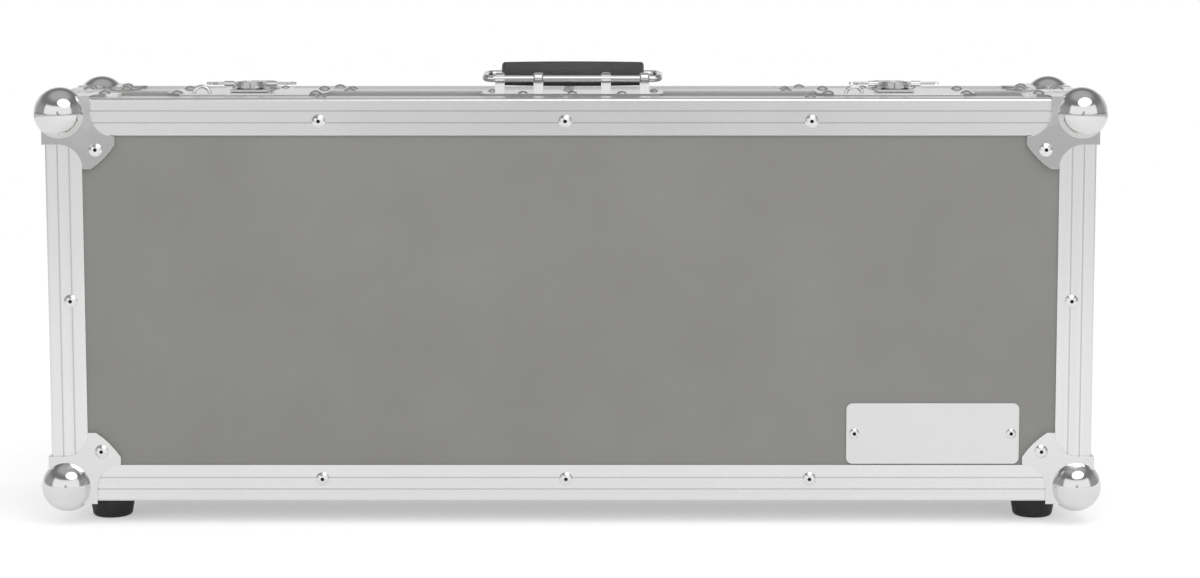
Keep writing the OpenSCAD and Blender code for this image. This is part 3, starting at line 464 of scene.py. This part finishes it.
@dataclass(frozen=True)
class Plated:
    """Bright nickel-chrome plating with a breath of haze and hairline scratches.

    Breath, hairs and peel are cells per metre, and edge is the radius of the broken edges.
    """

    look: Look
    colour: Colour = (0.83, 0.83, 0.825)
    faded: float = 0.93
    roughness: float = 0.07
    haze: float = 0.1
    edge: float = 0.0004
    breath: float = 38.0
    hairs: Place = (900.0, 60.0, 140.0)
    peel: float = 700.0
    relief: float = 0.000006

    def make(self) -> bpy.types.Material:
        """Builds the material."""
        made = Finish(self.look, Metallic=1.0)
        where = made.where()
        breath = made.noise(where, self.breath, 5.0, 0.6)
        hair = made.noise(made.stretched(where, self.hairs), 1.0, 2.0, 0.8).rise(0.7, 0.82)
        peel = made.noise(where, self.peel, 2.0, 0.5)
        faded = tuple(part * self.faded for part in self.colour)
        colour = made.mixed((breath * 0.6 + hair * 0.4).kept(), self.colour, faded)
        rough = self.roughness + self.haze * breath.rise(0.42, 0.75) + 0.08 * hair
        normal = made.bump(peel, self.relief, 0.5, made.eased(self.edge))
        return made.feed(Base_Color=colour, Roughness=rough, Normal=normal)


@dataclass(frozen=True)
class Steel:
    """Zinc-plated steel: slightly mottled, brighter where it rubs.

    Spangles and clouds are cells per metre.
    """

    look: Look
    colour: Colour = (0.60, 0.605, 0.61)
    bright: Colour = (0.74, 0.74, 0.74)
    roughness: float = 0.3
    spangles: float = 420.0
    clouds: float = 60.0
    relief: float = 0.00001
    edge: float = 0.0003

    def make(self) -> bpy.types.Material:
        """Builds the material."""
        made = Finish(self.look, Metallic=1.0)
        where = made.where()
        spangle = made.cells(where, self.spangles)
        cloud = made.noise(where, self.clouds, 4.0, 0.6)
        colour = made.mixed((spangle * 0.5 + cloud * 0.5).kept(), self.colour, self.bright)
        rough = self.roughness + 0.16 * (cloud - 0.5) + 0.06 * spangle
        normal = made.bump(cloud, self.relief, 0.4, made.eased(self.edge))
        return made.feed(Base_Color=colour, Roughness=rough, Normal=normal)


@dataclass(frozen=True)
class Brushed:
    """Fine brushed bare aluminium, brushed along the plate.

    Strokes and haze are cells per metre.
    """

    look: Look
    colour: Colour = (0.86, 0.86, 0.855)
    dull: Colour = (0.77, 0.77, 0.77)
    roughness: float = 0.33
    strokes: Place = (26.0, 3800.0, 3800.0)
    haze: float = 30.0
    relief: float = 0.000012
    edge: float = 0.0003

    def make(self) -> bpy.types.Material:
        """Builds the material."""
        made = Finish(self.look, Metallic=1.0)
        where = made.where()
        brush = made.noise(made.stretched(where, self.strokes), 1.0, 4.0, 0.75)
        haze = made.noise(where, self.haze, 3.0, 0.5)
        colour = made.mixed((brush * 0.7 + haze * 0.2).kept(), self.colour, self.dull)
        rough = self.roughness + 0.2 * (brush - 0.5) + 0.06 * (haze - 0.5)
        normal = made.bump(brush, self.relief, 0.5, made.eased(self.edge))
        return made.feed(Base_Color=colour, Roughness=rough, Normal=normal)


@dataclass(frozen=True)
class Rubber:
    """Moulded rubber: dull, faintly pitted, dusty in its hollows.

    Pits and dust are cells per metre.
    """

    look: Look
    colour: Colour = (0.022, 0.022, 0.024)
    dusty: Colour = (0.045, 0.045, 0.046)
    roughness: float = 0.55
    pits: float = 900.0
    dust: float = 55.0
    relief: float = 0.00008
    edge: float = 0.0006

    def make(self) -> bpy.types.Material:
        """Builds the material."""
        made = Finish(self.look, Specular_IOR_Level=0.45)
        where = made.where()
        pitted = made.noise(where, self.pits, 3.0, 0.6)
        dust = made.noise(where, self.dust, 4.0, 0.6).rise(0.45, 0.8)
        colour = made.mixed(dust, self.colour, self.dusty)
        rough = self.roughness + 0.14 * dust + 0.1 * (pitted - 0.5)
        normal = made.bump(pitted, self.relief, 0.5, made.eased(self.edge))
        return made.feed(Base_Color=colour, Roughness=rough, Normal=normal)


@dataclass(frozen=True)
class Foam:
    """Closed-cell foam: open pores where it was cut, dull and soft.

    Pores, grit and clouds are cells per metre.
    """

    look: Look
    colour: Colour = (0.034, 0.034, 0.037)
    pale: Colour = (0.062, 0.062, 0.066)
    roughness: float = 0.86
    pores: float = 1100.0
    grit: float = 2600.0
    clouds: float = 30.0
    relief: float = 0.0004

    def make(self) -> bpy.types.Material:
        """Builds the material."""
        made = Finish(self.look, Specular_IOR_Level=0.2, Sheen_Weight=0.25, Sheen_Roughness=0.6)
        where = made.where()
        pore = made.cells(where, self.pores)
        grit = made.noise(where, self.grit, 2.0, 0.6)
        cloud = made.noise(where, self.clouds, 3.0, 0.5)
        colour = made.mixed((pore * 0.6 + cloud * 0.4).kept(), self.colour, self.pale)
        normal = made.bump(pore * 0.7 + grit * 0.3, self.relief, 0.8)
        return made.feed(Base_Color=colour, Roughness=self.roughness + 0.1 * grit, Normal=normal)


# ------------------------------------------------------------------ modelling by operators


class Element(Enum):
    """What a selection in edit mode is made of."""

    VERTS = "VERT"
    EDGES = "EDGE"
    FACES = "FACE"


class Bench:
    """Modelling by operators: primitives, edit mode and applied modifiers."""

    @classmethod
    def named(cls, name: str) -> bpy.types.Object:
        """Names the object that was just added, and moves its place and turn into its mesh."""
        made = bpy.context.object
        made.name = name
        made.data.name = name
        cls.only(made)
        bpy.ops.object.transform_apply(location=True, rotation=True, scale=True)
        return made

    @classmethod
    def box(cls, name: str, low: Vector, high: Vector) -> bpy.types.Object:
        """Adds a box.

        Args:
            name: The object's name.
            low: Its lowest corner.
            high: Its highest corner.

        Returns:
            The box, with its size applied.
        """
        bpy.ops.object.select_all(action="DESELECT")
        bpy.ops.mesh.primitive_cube_add(size=1.0, location=(low + high) / 2, scale=high - low)
        return cls.named(name)

    @classmethod
    def rod(cls, name: str, middle: Vector, radius: float, length: float, sides: int) -> bpy.types.Object:
        """Adds a closed cylinder along X.

        Args:
            name: The object's name.
            middle: Its middle.
            radius: Its radius.
            length: Its length.
            sides: Number of sides.

        Returns:
            The cylinder, with its place applied.
        """
        bpy.ops.object.select_all(action="DESELECT")
        bpy.ops.mesh.primitive_cylinder_add(vertices=sides, radius=radius, depth=length, location=middle,
                                            rotation=(0.0, math.pi / 2, 0.0), end_fill_type="NGON")
        return cls.named(name)

    @staticmethod
    def only(made: bpy.types.Object) -> None:
        """Selects one object and makes it active."""
        bpy.ops.object.select_all(action="DESELECT")
        made.select_set(True)
        bpy.context.view_layer.objects.active = made

    @classmethod
    def edit(cls, made: bpy.types.Object, element: Element, wanted: Callable | None = None) -> None:
        """Opens edit mode with a selection.

        Args:
            made: The object.
            element: What the selection is made of.
            wanted: Says whether a vertex, edge or face is selected. Without it, all are.
        """
        cls.only(made)
        bpy.ops.object.mode_set(mode="EDIT")
        bpy.ops.mesh.select_mode(type=element.value)
        if wanted is None:
            bpy.ops.mesh.select_all(action="SELECT")
            return
        bpy.ops.mesh.select_all(action="DESELECT")
        mesh = bmesh.from_edit_mesh(made.data)
        choices = {Element.VERTS: mesh.verts, Element.EDGES: mesh.edges, Element.FACES: mesh.faces}
        for choice in choices[element]:
            choice.select_set(wanted(choice))
        bmesh.update_edit_mesh(made.data)

    @staticmethod
    def done() -> None:
        """Leaves edit mode."""
        bpy.ops.object.mode_set(mode="OBJECT")

    @classmethod
    def rounded(cls, made: bpy.types.Object, width: float, segments: int) -> None:
        """Rounds every edge of an object with an applied modifier.

        Args:
            made: The object.
            width: Width of the rounding.
            segments: Facets of the rounding.
        """
        cls.only(made)
        bevel = made.modifiers.new("rounding", "BEVEL")
        bevel.width = width
        bevel.segments = segments
        bevel.limit_method = "NONE"
        bpy.ops.object.modifier_apply(modifier=bevel.name)

    @classmethod
    def smooth(cls, made: bpy.types.Object, degrees: float) -> None:
        """Shades an object smooth up to an angle."""
        cls.only(made)
        bpy.ops.object.shade_smooth_by_angle(angle=math.radians(degrees))

    @classmethod
    def outwards(cls, made: bpy.types.Object) -> None:
        """Turns every face outwards after merging doubles."""
        cls.edit(made, Element.VERTS)
        bpy.ops.mesh.remove_doubles(threshold=1e-6)
        bpy.ops.mesh.normals_make_consistent(inside=False)
        cls.done()


# ------------------------------------------------------------------ the case


class Half(Enum):
    """The halves of the case, by the word that their nodes start with."""

    BASE = "base"
    LID = "lid"

    @property
    def inwards(self) -> float:
        """Sign along Y of the way from the half's outer panel into the case."""
        return 1.0 if self is Half.BASE else -1.0


@dataclass
class Palette:
    """Every finish of the case, made once."""

    made: dict[Look, bpy.types.Material] = field(default_factory=dict)

    def fill(self) -> None:
        """Builds the materials."""
        outline = Outline.read()
        rivet_grey = (0.88, 0.88, 0.875)
        bore_shade_dark, bore_shade_light = (0.03, 0.03, 0.03), (0.06, 0.06, 0.06)
        grip_grey, grip_dust = (0.185, 0.185, 0.185), (0.225, 0.225, 0.222)
        finishes = [
            Laminate(),
            Extrusion(Look.EDGING, Grain.MITRED_RING, outline),
            Extrusion(Look.SHORT_EDGING, Grain.ALONG_Y, outline),
            Plated(Look.CORNER_CHROME, roughness=0.06, haze=0.08),
            Plated(Look.HARDWARE_CHROME, roughness=0.06, haze=0.08, edge=0.0003),
            Plated(Look.RIVET, colour=rivet_grey, roughness=0.2, haze=0.1, edge=0.0002),
            Steel(Look.ZINC),
            # Painted shade, near-black, for the faces inside the rivets' bores.
            Steel(Look.MANDREL, colour=bore_shade_dark, bright=bore_shade_light, roughness=0.6),
            Brushed(Look.PLATE),
            Rubber(Look.FOOT),
            Rubber(Look.GRIP, colour=grip_grey, dusty=grip_dust, roughness=0.42),
            Foam(Look.FOAM),
        ]
        for finish in finishes:
            self.made[finish.look] = finish.make()
            log.info("finish %s", finish.look.value)

    def dress(self, look: Look, *nodes: str) -> None:
        """Gives CAD nodes a finish.

        Args:
            look: The finish.
            nodes: Names of the CAD nodes.
        """
        for node in nodes:
            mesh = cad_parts[node].data
            mesh.materials.clear()
            mesh.materials.append(self.made[look])
            log.info("node %s in %s", node, look.value)

    def finish(self, piece: bpy.types.Object, look: Look, body: str, slot: str) -> None:
        """Gives a new piece its finish and body.

        Args:
            piece: The piece.
            look: The finish.
            body: The CAD body that it rides on.
            slot: Not used.
        """
        piece.data.materials.clear()
        piece.data.materials.append(self.made[look])
        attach(piece, body)
        log.info("piece %s rides on %s", piece.name, body)


@dataclass
class Rivets:
    """Pop rivets, with near-black painted shade on the faces inside each bore.

    Reach is the most that a rivet measures from end to end, and bore the radius of its hole.
    """

    palette: Palette
    node: str
    reach: float = 0.013
    bore: float = 0.00156

    def build(self) -> None:
        """Dresses the rivets, with a second finish of painted shade on the faces inside their bores."""
        self.palette.dress(Look.RIVET, self.node)
        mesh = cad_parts[self.node].data
        # The faces inside the bores take the near-black painted shade.
        mesh.materials.append(self.palette.made[Look.MANDREL])
        places = np.empty(len(mesh.vertices) * 3)
        mesh.vertices.foreach_get("co", places)
        places = places.reshape(-1, 3)
        owner = self.sorted_by_rivet(places)
        axes = [self.axis_of(places[owner == number]) for number in range(owner.max() + 1)]
        centres = np.empty(len(mesh.polygons) * 3)
        mesh.polygons.foreach_get("center", centres)
        slots = []
        for face, centre in zip(mesh.polygons, centres.reshape(-1, 3)):
            middle, axis = axes[owner[face.vertices[0]]]
            across = np.delete(centre - middle, axis)
            slots.append(int(np.hypot(*across) < self.bore))
        mesh.polygons.foreach_set("material_index", slots)

    def sorted_by_rivet(self, places: np.ndarray) -> np.ndarray:
        """Numbers the vertices by the rivet they belong to.

        Args:
            places: Every vertex of the node.

        Returns:
            The rivet's number for each vertex.
        """
        owner = np.full(len(places), -1)
        number = 0
        while (owner < 0).any():
            seed = places[np.argmax(owner < 0)]
            near = (owner < 0) & (np.linalg.norm(places - seed, axis=1) < self.reach)
            owner[near] = number
            number += 1
        return owner

    def axis_of(self, places: np.ndarray) -> tuple[np.ndarray, int]:
        """Middle and axis of one rivet.

        Args:
            places: Its vertices.

        Returns:
            The middle of its box, and 0, 1 or 2 for an axis along X, Y or Z.
        """
        low, high = places.min(axis=0), places.max(axis=0)
        size = high - low
        odd = [abs(size[(i + 1) % 3] - size[(i + 2) % 3]) for i in range(3)]
        return (low + high) / 2, int(np.argmin(odd))


@dataclass
class Shell:
    """Panels, edging, rims, corners, feet and plate of both halves."""

    palette: Palette
    panels: tuple[str, ...] = ("face", "top", "bottom", "left", "right")

    def build(self) -> None:
        """Dresses the shell."""
        dress = self.palette.dress
        for half in (half.value for half in Half):
            dress(Look.LAMINATE, *(f"{half}_{panel}_panel" for panel in self.panels))
            dress(Look.EDGING, f"{half}_face_edging", f"{half}_rim")
            dress(Look.SHORT_EDGING, f"{half}_corner_edging")
            dress(Look.HARDWARE_CHROME, f"{half}_corner_braces")
            dress(Look.FOOT, f"{half}_feet")
            dress(Look.ZINC, f"{half}_foot_screws")
            Rivets(self.palette, f"{half}_rivets").build()
        dress(Look.CORNER_CHROME, "front_ball_corners", "back_ball_corners")
        dress(Look.PLATE, "name_plate")
        Rivets(self.palette, "name_plate_rivets").build()


@dataclass
class Hardware:
    """Handle, latches and hinges."""

    palette: Palette
    bright: tuple[str, ...] = ("plate", "bridge", "wing", "hoop", "keeper", "hub")
    plain: tuple[str, ...] = ("pin", "tongue")

    def build(self) -> None:
        """Dresses the hardware."""
        dress = self.palette.dress
        dress(Look.HARDWARE_CHROME, "handle_bracket", "handle_ring")
        for node in ("handle_rivets", "latch_rivets", "keeper_rivets"):
            Rivets(self.palette, node).build()
        for side in ("left", "right"):
            dress(Look.HARDWARE_CHROME, *(f"latch_{side}_{part}" for part in self.bright))
            dress(Look.ZINC, *(f"latch_{side}_{part}" for part in self.plain))
        dress(Look.ZINC, "hinge_base_leaves", "hinge_lid_leaves", "hinge_pins")


@dataclass
class Grip:
    """The moulded sleeve on the handle: a slight barrel with rounded rims and dished ends.

    Spare is kept inside the plain grip's radius, swell is the barrel's rise at the middle, lip the
    rounding of the rims, land the flat ring of an end, and dish the width and depth of its hollow.
    """

    palette: Palette
    sides: int = 64
    cuts: int = 24
    spare: float = 0.0003
    swell: float = 0.0006
    lip: float = 0.0024
    lip_segments: int = 6
    land: float = 0.0012
    dish: float = 0.0008

    def build(self) -> None:
        """Models the sleeve and puts it in the place of the plain one."""
        low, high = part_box("handle_grip")
        middle, length = (low + high) / 2, high.x - low.x
        radius = (high.z - low.z) / 2 - self.spare
        end = length * 0.49
        grip = Bench.rod("handle_grip_sleeve", middle, radius - self.swell, length, self.sides)
        Bench.edit(grip, Element.EDGES, lambda edge: all(abs(v.co.x - middle.x) > end for v in edge.verts))
        bpy.ops.mesh.bevel(offset=self.lip, segments=self.lip_segments, affect="EDGES")
        Bench.done()
        Bench.edit(grip, Element.FACES, lambda face: abs(face.normal.x) > 0.997)
        bpy.ops.mesh.inset(thickness=self.land)
        bpy.ops.mesh.inset(thickness=self.dish, depth=-self.dish)
        Bench.done()
        Bench.edit(grip, Element.EDGES,
                   lambda edge: abs(edge.verts[0].co.x - edge.verts[1].co.x) > length * 0.9)
        bpy.ops.mesh.subdivide(number_cuts=self.cuts)
        Bench.done()
        self.swell_out(grip, middle, length, radius)
        Bench.outwards(grip)
        Bench.smooth(grip, 50.0)
        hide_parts("handle_grip")
        self.palette.finish(grip, Look.GRIP, "handle", "grip_rubber")

    def swell_out(self, grip: bpy.types.Object, middle: Vector, length: float, radius: float) -> None:
        """Gives the sleeve its slight barrel by scaling its rings.

        Args:
            grip: The sleeve.
            middle: Its middle.
            length: Its length.
            radius: Its largest radius.
        """
        places = (vert.co.x for vert in grip.data.vertices)
        rings = sorted({round(x, 5) for x in places if abs(x - middle.x) < length * 0.49})
        for ring in rings:
            Bench.edit(grip, Element.VERTS, lambda vert: abs(vert.co.x - ring) < 2e-5)
            share = 1.0 - ((ring - middle.x) / (length / 2)) ** 2
            factor = 1.0 + self.swell * share / (radius - self.swell)
            bpy.ops.transform.resize(value=(1.0, factor, factor), center_override=(ring, middle.y, middle.z))
            Bench.done()


@dataclass
class Lining:
    """Foam in one half: a floor pad cut into soft blocks, and four wall pads.

    Relief holds the inset and the rise of each step of a block, from its scored line inwards.
    """

    palette: Palette
    half: Half
    relief: tuple[tuple[float, float], ...]
    wall: float = 0.012
    floor: float = 0.015
    seam: float = 0.0006
    pitch: float = 0.0262
    rounding: float = 0.0016
    rounding_segments: int = 4

    def build(self) -> None:
        """Models the pads and puts them in the place of the plain tray."""
        half = self.half.value
        low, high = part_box(f"{half}_lining")
        walls = self.walls(low, high)
        bed = self.bed(low, high)
        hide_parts(f"{half}_lining")
        for pad in [bed, *walls]:
            Bench.smooth(pad, 40.0)
            self.palette.finish(pad, Look.FOAM, half, "foam_lining")

    def walls(self, low: Vector, high: Vector) -> list[bpy.types.Object]:
        """Cuts four wall pads with softly rounded edges.

        Args:
            low: Lowest corner of the tray.
            high: Highest corner of the tray.

        Returns:
            The pads.
        """
        wall, gap = self.wall, self.wall + self.seam
        boxes = {
            "top": ((low.x + gap, low.y, high.z - wall), (high.x - gap, high.y, high.z)),
            "bottom": ((low.x + gap, low.y, low.z), (high.x - gap, high.y, low.z + wall)),
            "left": ((low.x, low.y, low.z), (low.x + wall, high.y, high.z)),
            "right": ((high.x - wall, low.y, low.z), (high.x, high.y, high.z)),
        }
        pads = []
        for side, (start, end) in boxes.items():
            pad = Bench.box(f"{self.half.value}_foam_{side}", Vector(start), Vector(end))
            Bench.rounded(pad, self.rounding, self.rounding_segments)
            Bench.outwards(pad)
            pads.append(pad)
        return pads

    def bed(self, low: Vector, high: Vector) -> bpy.types.Object:
        """Models the floor pad: a grid of soft blocks, parted by scored lines.

        Args:
            low: Lowest corner of the tray.
            high: Highest corner of the tray.

        Returns:
            The pad.
        """
        inwards = self.half.inwards
        back = low.y if self.half is Half.BASE else high.y
        face = back + inwards * self.floor
        gap = self.wall + self.seam
        start = Vector((low.x + gap, min(back, face), low.z + gap))
        end = Vector((high.x - gap, max(back, face), high.z - gap))
        bed = Bench.box(f"{self.half.value}_foam_floor", start, end)
        for along in (Vector((1.0, 0.0, 0.0)), Vector((0.0, 0.0, 1.0))):
            first, last = start.dot(along), end.dot(along)
            blocks = max(2, round((last - first) / self.pitch))
            for i in range(1, blocks):
                Bench.edit(bed, Element.FACES)
                bpy.ops.mesh.bisect(plane_co=along * (first + (last - first) * i / blocks), plane_no=along)
                Bench.done()
        Bench.edit(bed, Element.FACES, lambda block: block.normal.y * inwards > 0.9)
        for inset, rise in self.relief:
            bpy.ops.mesh.inset(thickness=inset, depth=rise, use_individual=True)
        Bench.done()
        self.sink(bed, back, face)
        Bench.outwards(bed)
        return bed

    def sink(self, bed: bpy.types.Object, back: float, face: float) -> None:
        """Scales the pad's thickness so that its highest points lie on the tray's face.

        Args:
            bed: The pad.
            back: Where the pad meets the panel.
            face: Where its highest points belong.
        """
        inwards = self.half.inwards
        far = max(vert.co.y * inwards for vert in bed.data.vertices)
        factor = (face - back) * inwards / (far - back * inwards)
        Bench.edit(bed, Element.VERTS)
        bpy.ops.transform.resize(value=(1.0, factor, 1.0), center_override=(0.0, back, 0.0))
        Bench.done()


# ------------------------------------------------------------------ studio


@dataclass(frozen=True)
class SoftBox:
    """An oval studio lamp that looks at the case."""

    name: str
    towards: Place
    distance: float
    width: float
    height: float
    power: float
    target: Place = (0.0, -0.05, 0.2)

    def make(self) -> None:
        """Adds the lamp."""
        data = bpy.data.lights.new(self.name, "AREA")
        data.shape = "ELLIPSE"
        data.size, data.size_y = self.width, self.height
        data.energy = self.power
        lamp = bpy.data.objects.new(self.name, data)
        bpy.context.scene.collection.objects.link(lamp)
        direction = Vector(self.towards).normalized()
        lamp.location = Vector(self.target) + direction * self.distance
        lamp.rotation_euler = direction.to_track_quat("Z", "Y").to_euler()
        log.info("lamp %s", self.name)


@dataclass(frozen=True)
class Studio:
    """Floor, surroundings and lamp of a plain pale studio.

    Tones are shares of white. The shown ones are for the camera and the mirror ones for metal.
    Ambient is the level that everything else gets. Spans are distances over the floor from the
    case: where the floor's own light takes over, where the dark band begins, and where it ends.
    """

    ambient: float = 0.72
    floor_tone: float = 0.9
    shown_tone: float = 0.8
    shown_lift: float = 0.42
    mirror_tone: float = 0.7
    mirror_lift: float = 0.3
    window_tone: float = 0.95
    wall_tone: float = 0.34
    sweep_tone: float = 0.38
    ceiling_tone: float = 0.24
    band_tone: float = 0.42
    camera_tone: float = 0.6
    floor_radius: float = 60.0
    far_span: tuple[float, float] = (0.9, 2.2)
    band_span: tuple[float, float] = (1.6, 3.4)
    band_end: tuple[float, float] = (5.0, 12.0)
    key: SoftBox = SoftBox("key_softbox", (0.245, -0.556, 0.80), 2.4, 2.4, 1.7, 15.0)

    def build(self) -> None:
        """Makes the studio."""
        self.surroundings()
        self.floor()
        self.key.make()

    def surroundings(self) -> None:
        """The world: white to the camera, a graded studio to metal, a plain level to all else."""
        world = bpy.data.worlds.new("studio_world")
        bpy.context.scene.world = world
        made = NodeTree(world)
        seen, mirror = made.rays()
        direction = made.node("ShaderNodeTexCoord").outputs["Generated"]
        studio = self.mirrored(*made.parts(direction))
        level = seen + (1.0 - seen) * (mirror * studio + (1.0 - mirror) * self.ambient)
        sky = made.node("ShaderNodeBackground", None, {"Color": (1.0, 1.0, 1.0), "Strength": level})
        made.node("ShaderNodeOutputWorld", None, {0: sky.outputs[0]})

    def mirrored(self, x: Value, y: Value, z: Value) -> Value:
        """What metal sees of the room.

        A white sweep stands behind the case, a broad window behind the camera, and the camera
        itself is dark before it. The walls and the ceiling are dim.

        Args:
            x: Direction's part along the case.
            y: Direction's part away from the camera.
            z: Direction's part upwards.

        Returns:
            The brightness in that direction.
        """
        facing = (y * -1.0) / (x * x + y * y).root().greater(0.05)
        window = facing.rise(0.38, 0.52) * (1.0 - z.rise(0.48, 0.62))
        sweep = facing.rise(-0.3, -0.9) * (1.0 - z.rise(0.25, 0.65))
        wall = (self.wall_tone + self.sweep_tone * sweep) * (1.0 - 0.4 * z.rise(0.3, 0.6))
        wall = wall + self.ceiling_tone * z.rise(0.72, 0.95)
        level = wall + (self.window_tone - wall) * window
        return level * (1.0 - self.camera_shade(x, y) * (1.0 - z.rise(0.12, 0.25)))

    def camera_shade(self, x: Value, y: Value) -> Value:
        """How much the dark camera and its stand take away, by the direction over the floor.

        Args:
            x: Direction's part or place along the case.
            y: Direction's part or place away from the camera.

        Returns:
            A share from 0 to the camera's tone.
        """
        front = y.below(-0.01)
        aside = abs(x / y.lesser(-0.01))
        return self.camera_tone * front * (1.0 - aside.rise(0.03, 0.13))

    def floor(self) -> None:
        """A pale floor that keeps the case's shadow and fades to plain white far away."""
        bpy.ops.object.select_all(action="DESELECT")
        bpy.ops.mesh.primitive_circle_add(vertices=96, radius=self.floor_radius, fill_type="NGON")
        ground = Bench.named("studio_floor")
        material = bpy.data.materials.new("studio_floor")
        made = NodeTree(material)
        x, y, _ = made.parts(made.where())
        reach = (x * x + y * y).root()
        seen, mirror = made.rays()
        other = 1.0 - seen.greater(mirror)
        white = (1.0, 1.0, 1.0)
        tint = seen * self.shown_tone + mirror * self.mirror_tone + other * self.floor_tone
        cloth = made.node("ShaderNodeBsdfDiffuse", None, {"Color": tint})
        strength = seen * self.shown_lift + mirror * self.mirror_lift
        lift = made.node("ShaderNodeEmission", None, {"Color": white, "Strength": strength})
        near = made.node("ShaderNodeAddShader", None, {0: cloth.outputs[0], 1: lift.outputs[0]})
        tone = seen + (1.0 - seen) * self.far_tone(x, y, reach)
        far = made.node("ShaderNodeEmission", None, {"Color": white, "Strength": tone})
        share = reach.rise(*self.far_span) * seen.greater(mirror)
        blend = made.node("ShaderNodeMixShader", None, {0: share, 1: near.outputs[0], 2: far.outputs[0]})
        made.node("ShaderNodeOutputMaterial", None, {0: blend.outputs[0]})
        ground.data.materials.append(material)

    def far_tone(self, x: Value, y: Value, reach: Value) -> Value:
        """The far floor's tone in metal: a dark band around the case, and dark far ends.

        Args:
            x: Place along the case.
            y: Place away from the camera.
            reach: Distance from the case.

        Returns:
            The tone.
        """
        lengthwise = (abs(y) / reach.greater(0.05)).rise(0.45, 0.8)
        distant = reach.rise(*self.band_end)
        tone = 0.93 - self.band_tone * (reach.rise(*self.band_span) - distant)
        tone = tone - 0.8 * distant * (1.0 - lengthwise)
        return tone * (1.0 - self.camera_shade(x, y) * reach.rise(2.0, 4.0))


@dataclass(frozen=True)
class PhotoCamera:
    """The camera at the photograph's place. Lengths are in metres, angles in radians.

    Focal_share is the focal length as a share of the picture's width.
    """

    place: Place = (0.0460, -2.2473, 0.4790)
    pitch: float = 0.1041
    focal_share: float = 2675.9 / 1200.0
    shift: tuple[float, float] = (-0.0231, -0.06)
    sensor: float = 36.0

    def make(self) -> None:
        """Adds the camera and makes it the scene's."""
        data = bpy.data.cameras.new("photo_camera")
        data.sensor_width = self.sensor
        data.sensor_fit = "HORIZONTAL"
        data.lens = self.sensor * self.focal_share
        data.shift_x, data.shift_y = self.shift
        data.clip_start, data.clip_end = 0.01, 200.0
        camera = bpy.data.objects.new("photo_camera", data)
        bpy.context.scene.collection.objects.link(camera)
        camera.location = self.place
        camera.rotation_euler = (math.pi / 2 - self.pitch, 0.0, 0.0)
        bpy.context.scene.camera = camera
        log.info("camera %.4f %.4f %.4f", *self.place)


def main() -> None:
    """Builds the case's looks and the studio around it."""
    logging.basicConfig(level=logging.INFO, format="%(name)s: %(message)s")
    scored = ((0.0011, 0.0), (0.0012, 0.0016))
    bumped = (*scored, (0.0042, 0.0022), (0.0036, 0.0006))
    PhotoCamera().make()
    palette = Palette()
    palette.fill()
    Shell(palette).build()
    Hardware(palette).build()
    Grip(palette).build()
    Lining(palette, Half.BASE, relief=scored).build()
    Lining(palette, Half.LID, relief=bumped).build()
    Studio().build()
    bpy.context.scene.view_settings.view_transform = "Standard"


if __name__ == "__main__":
    main()
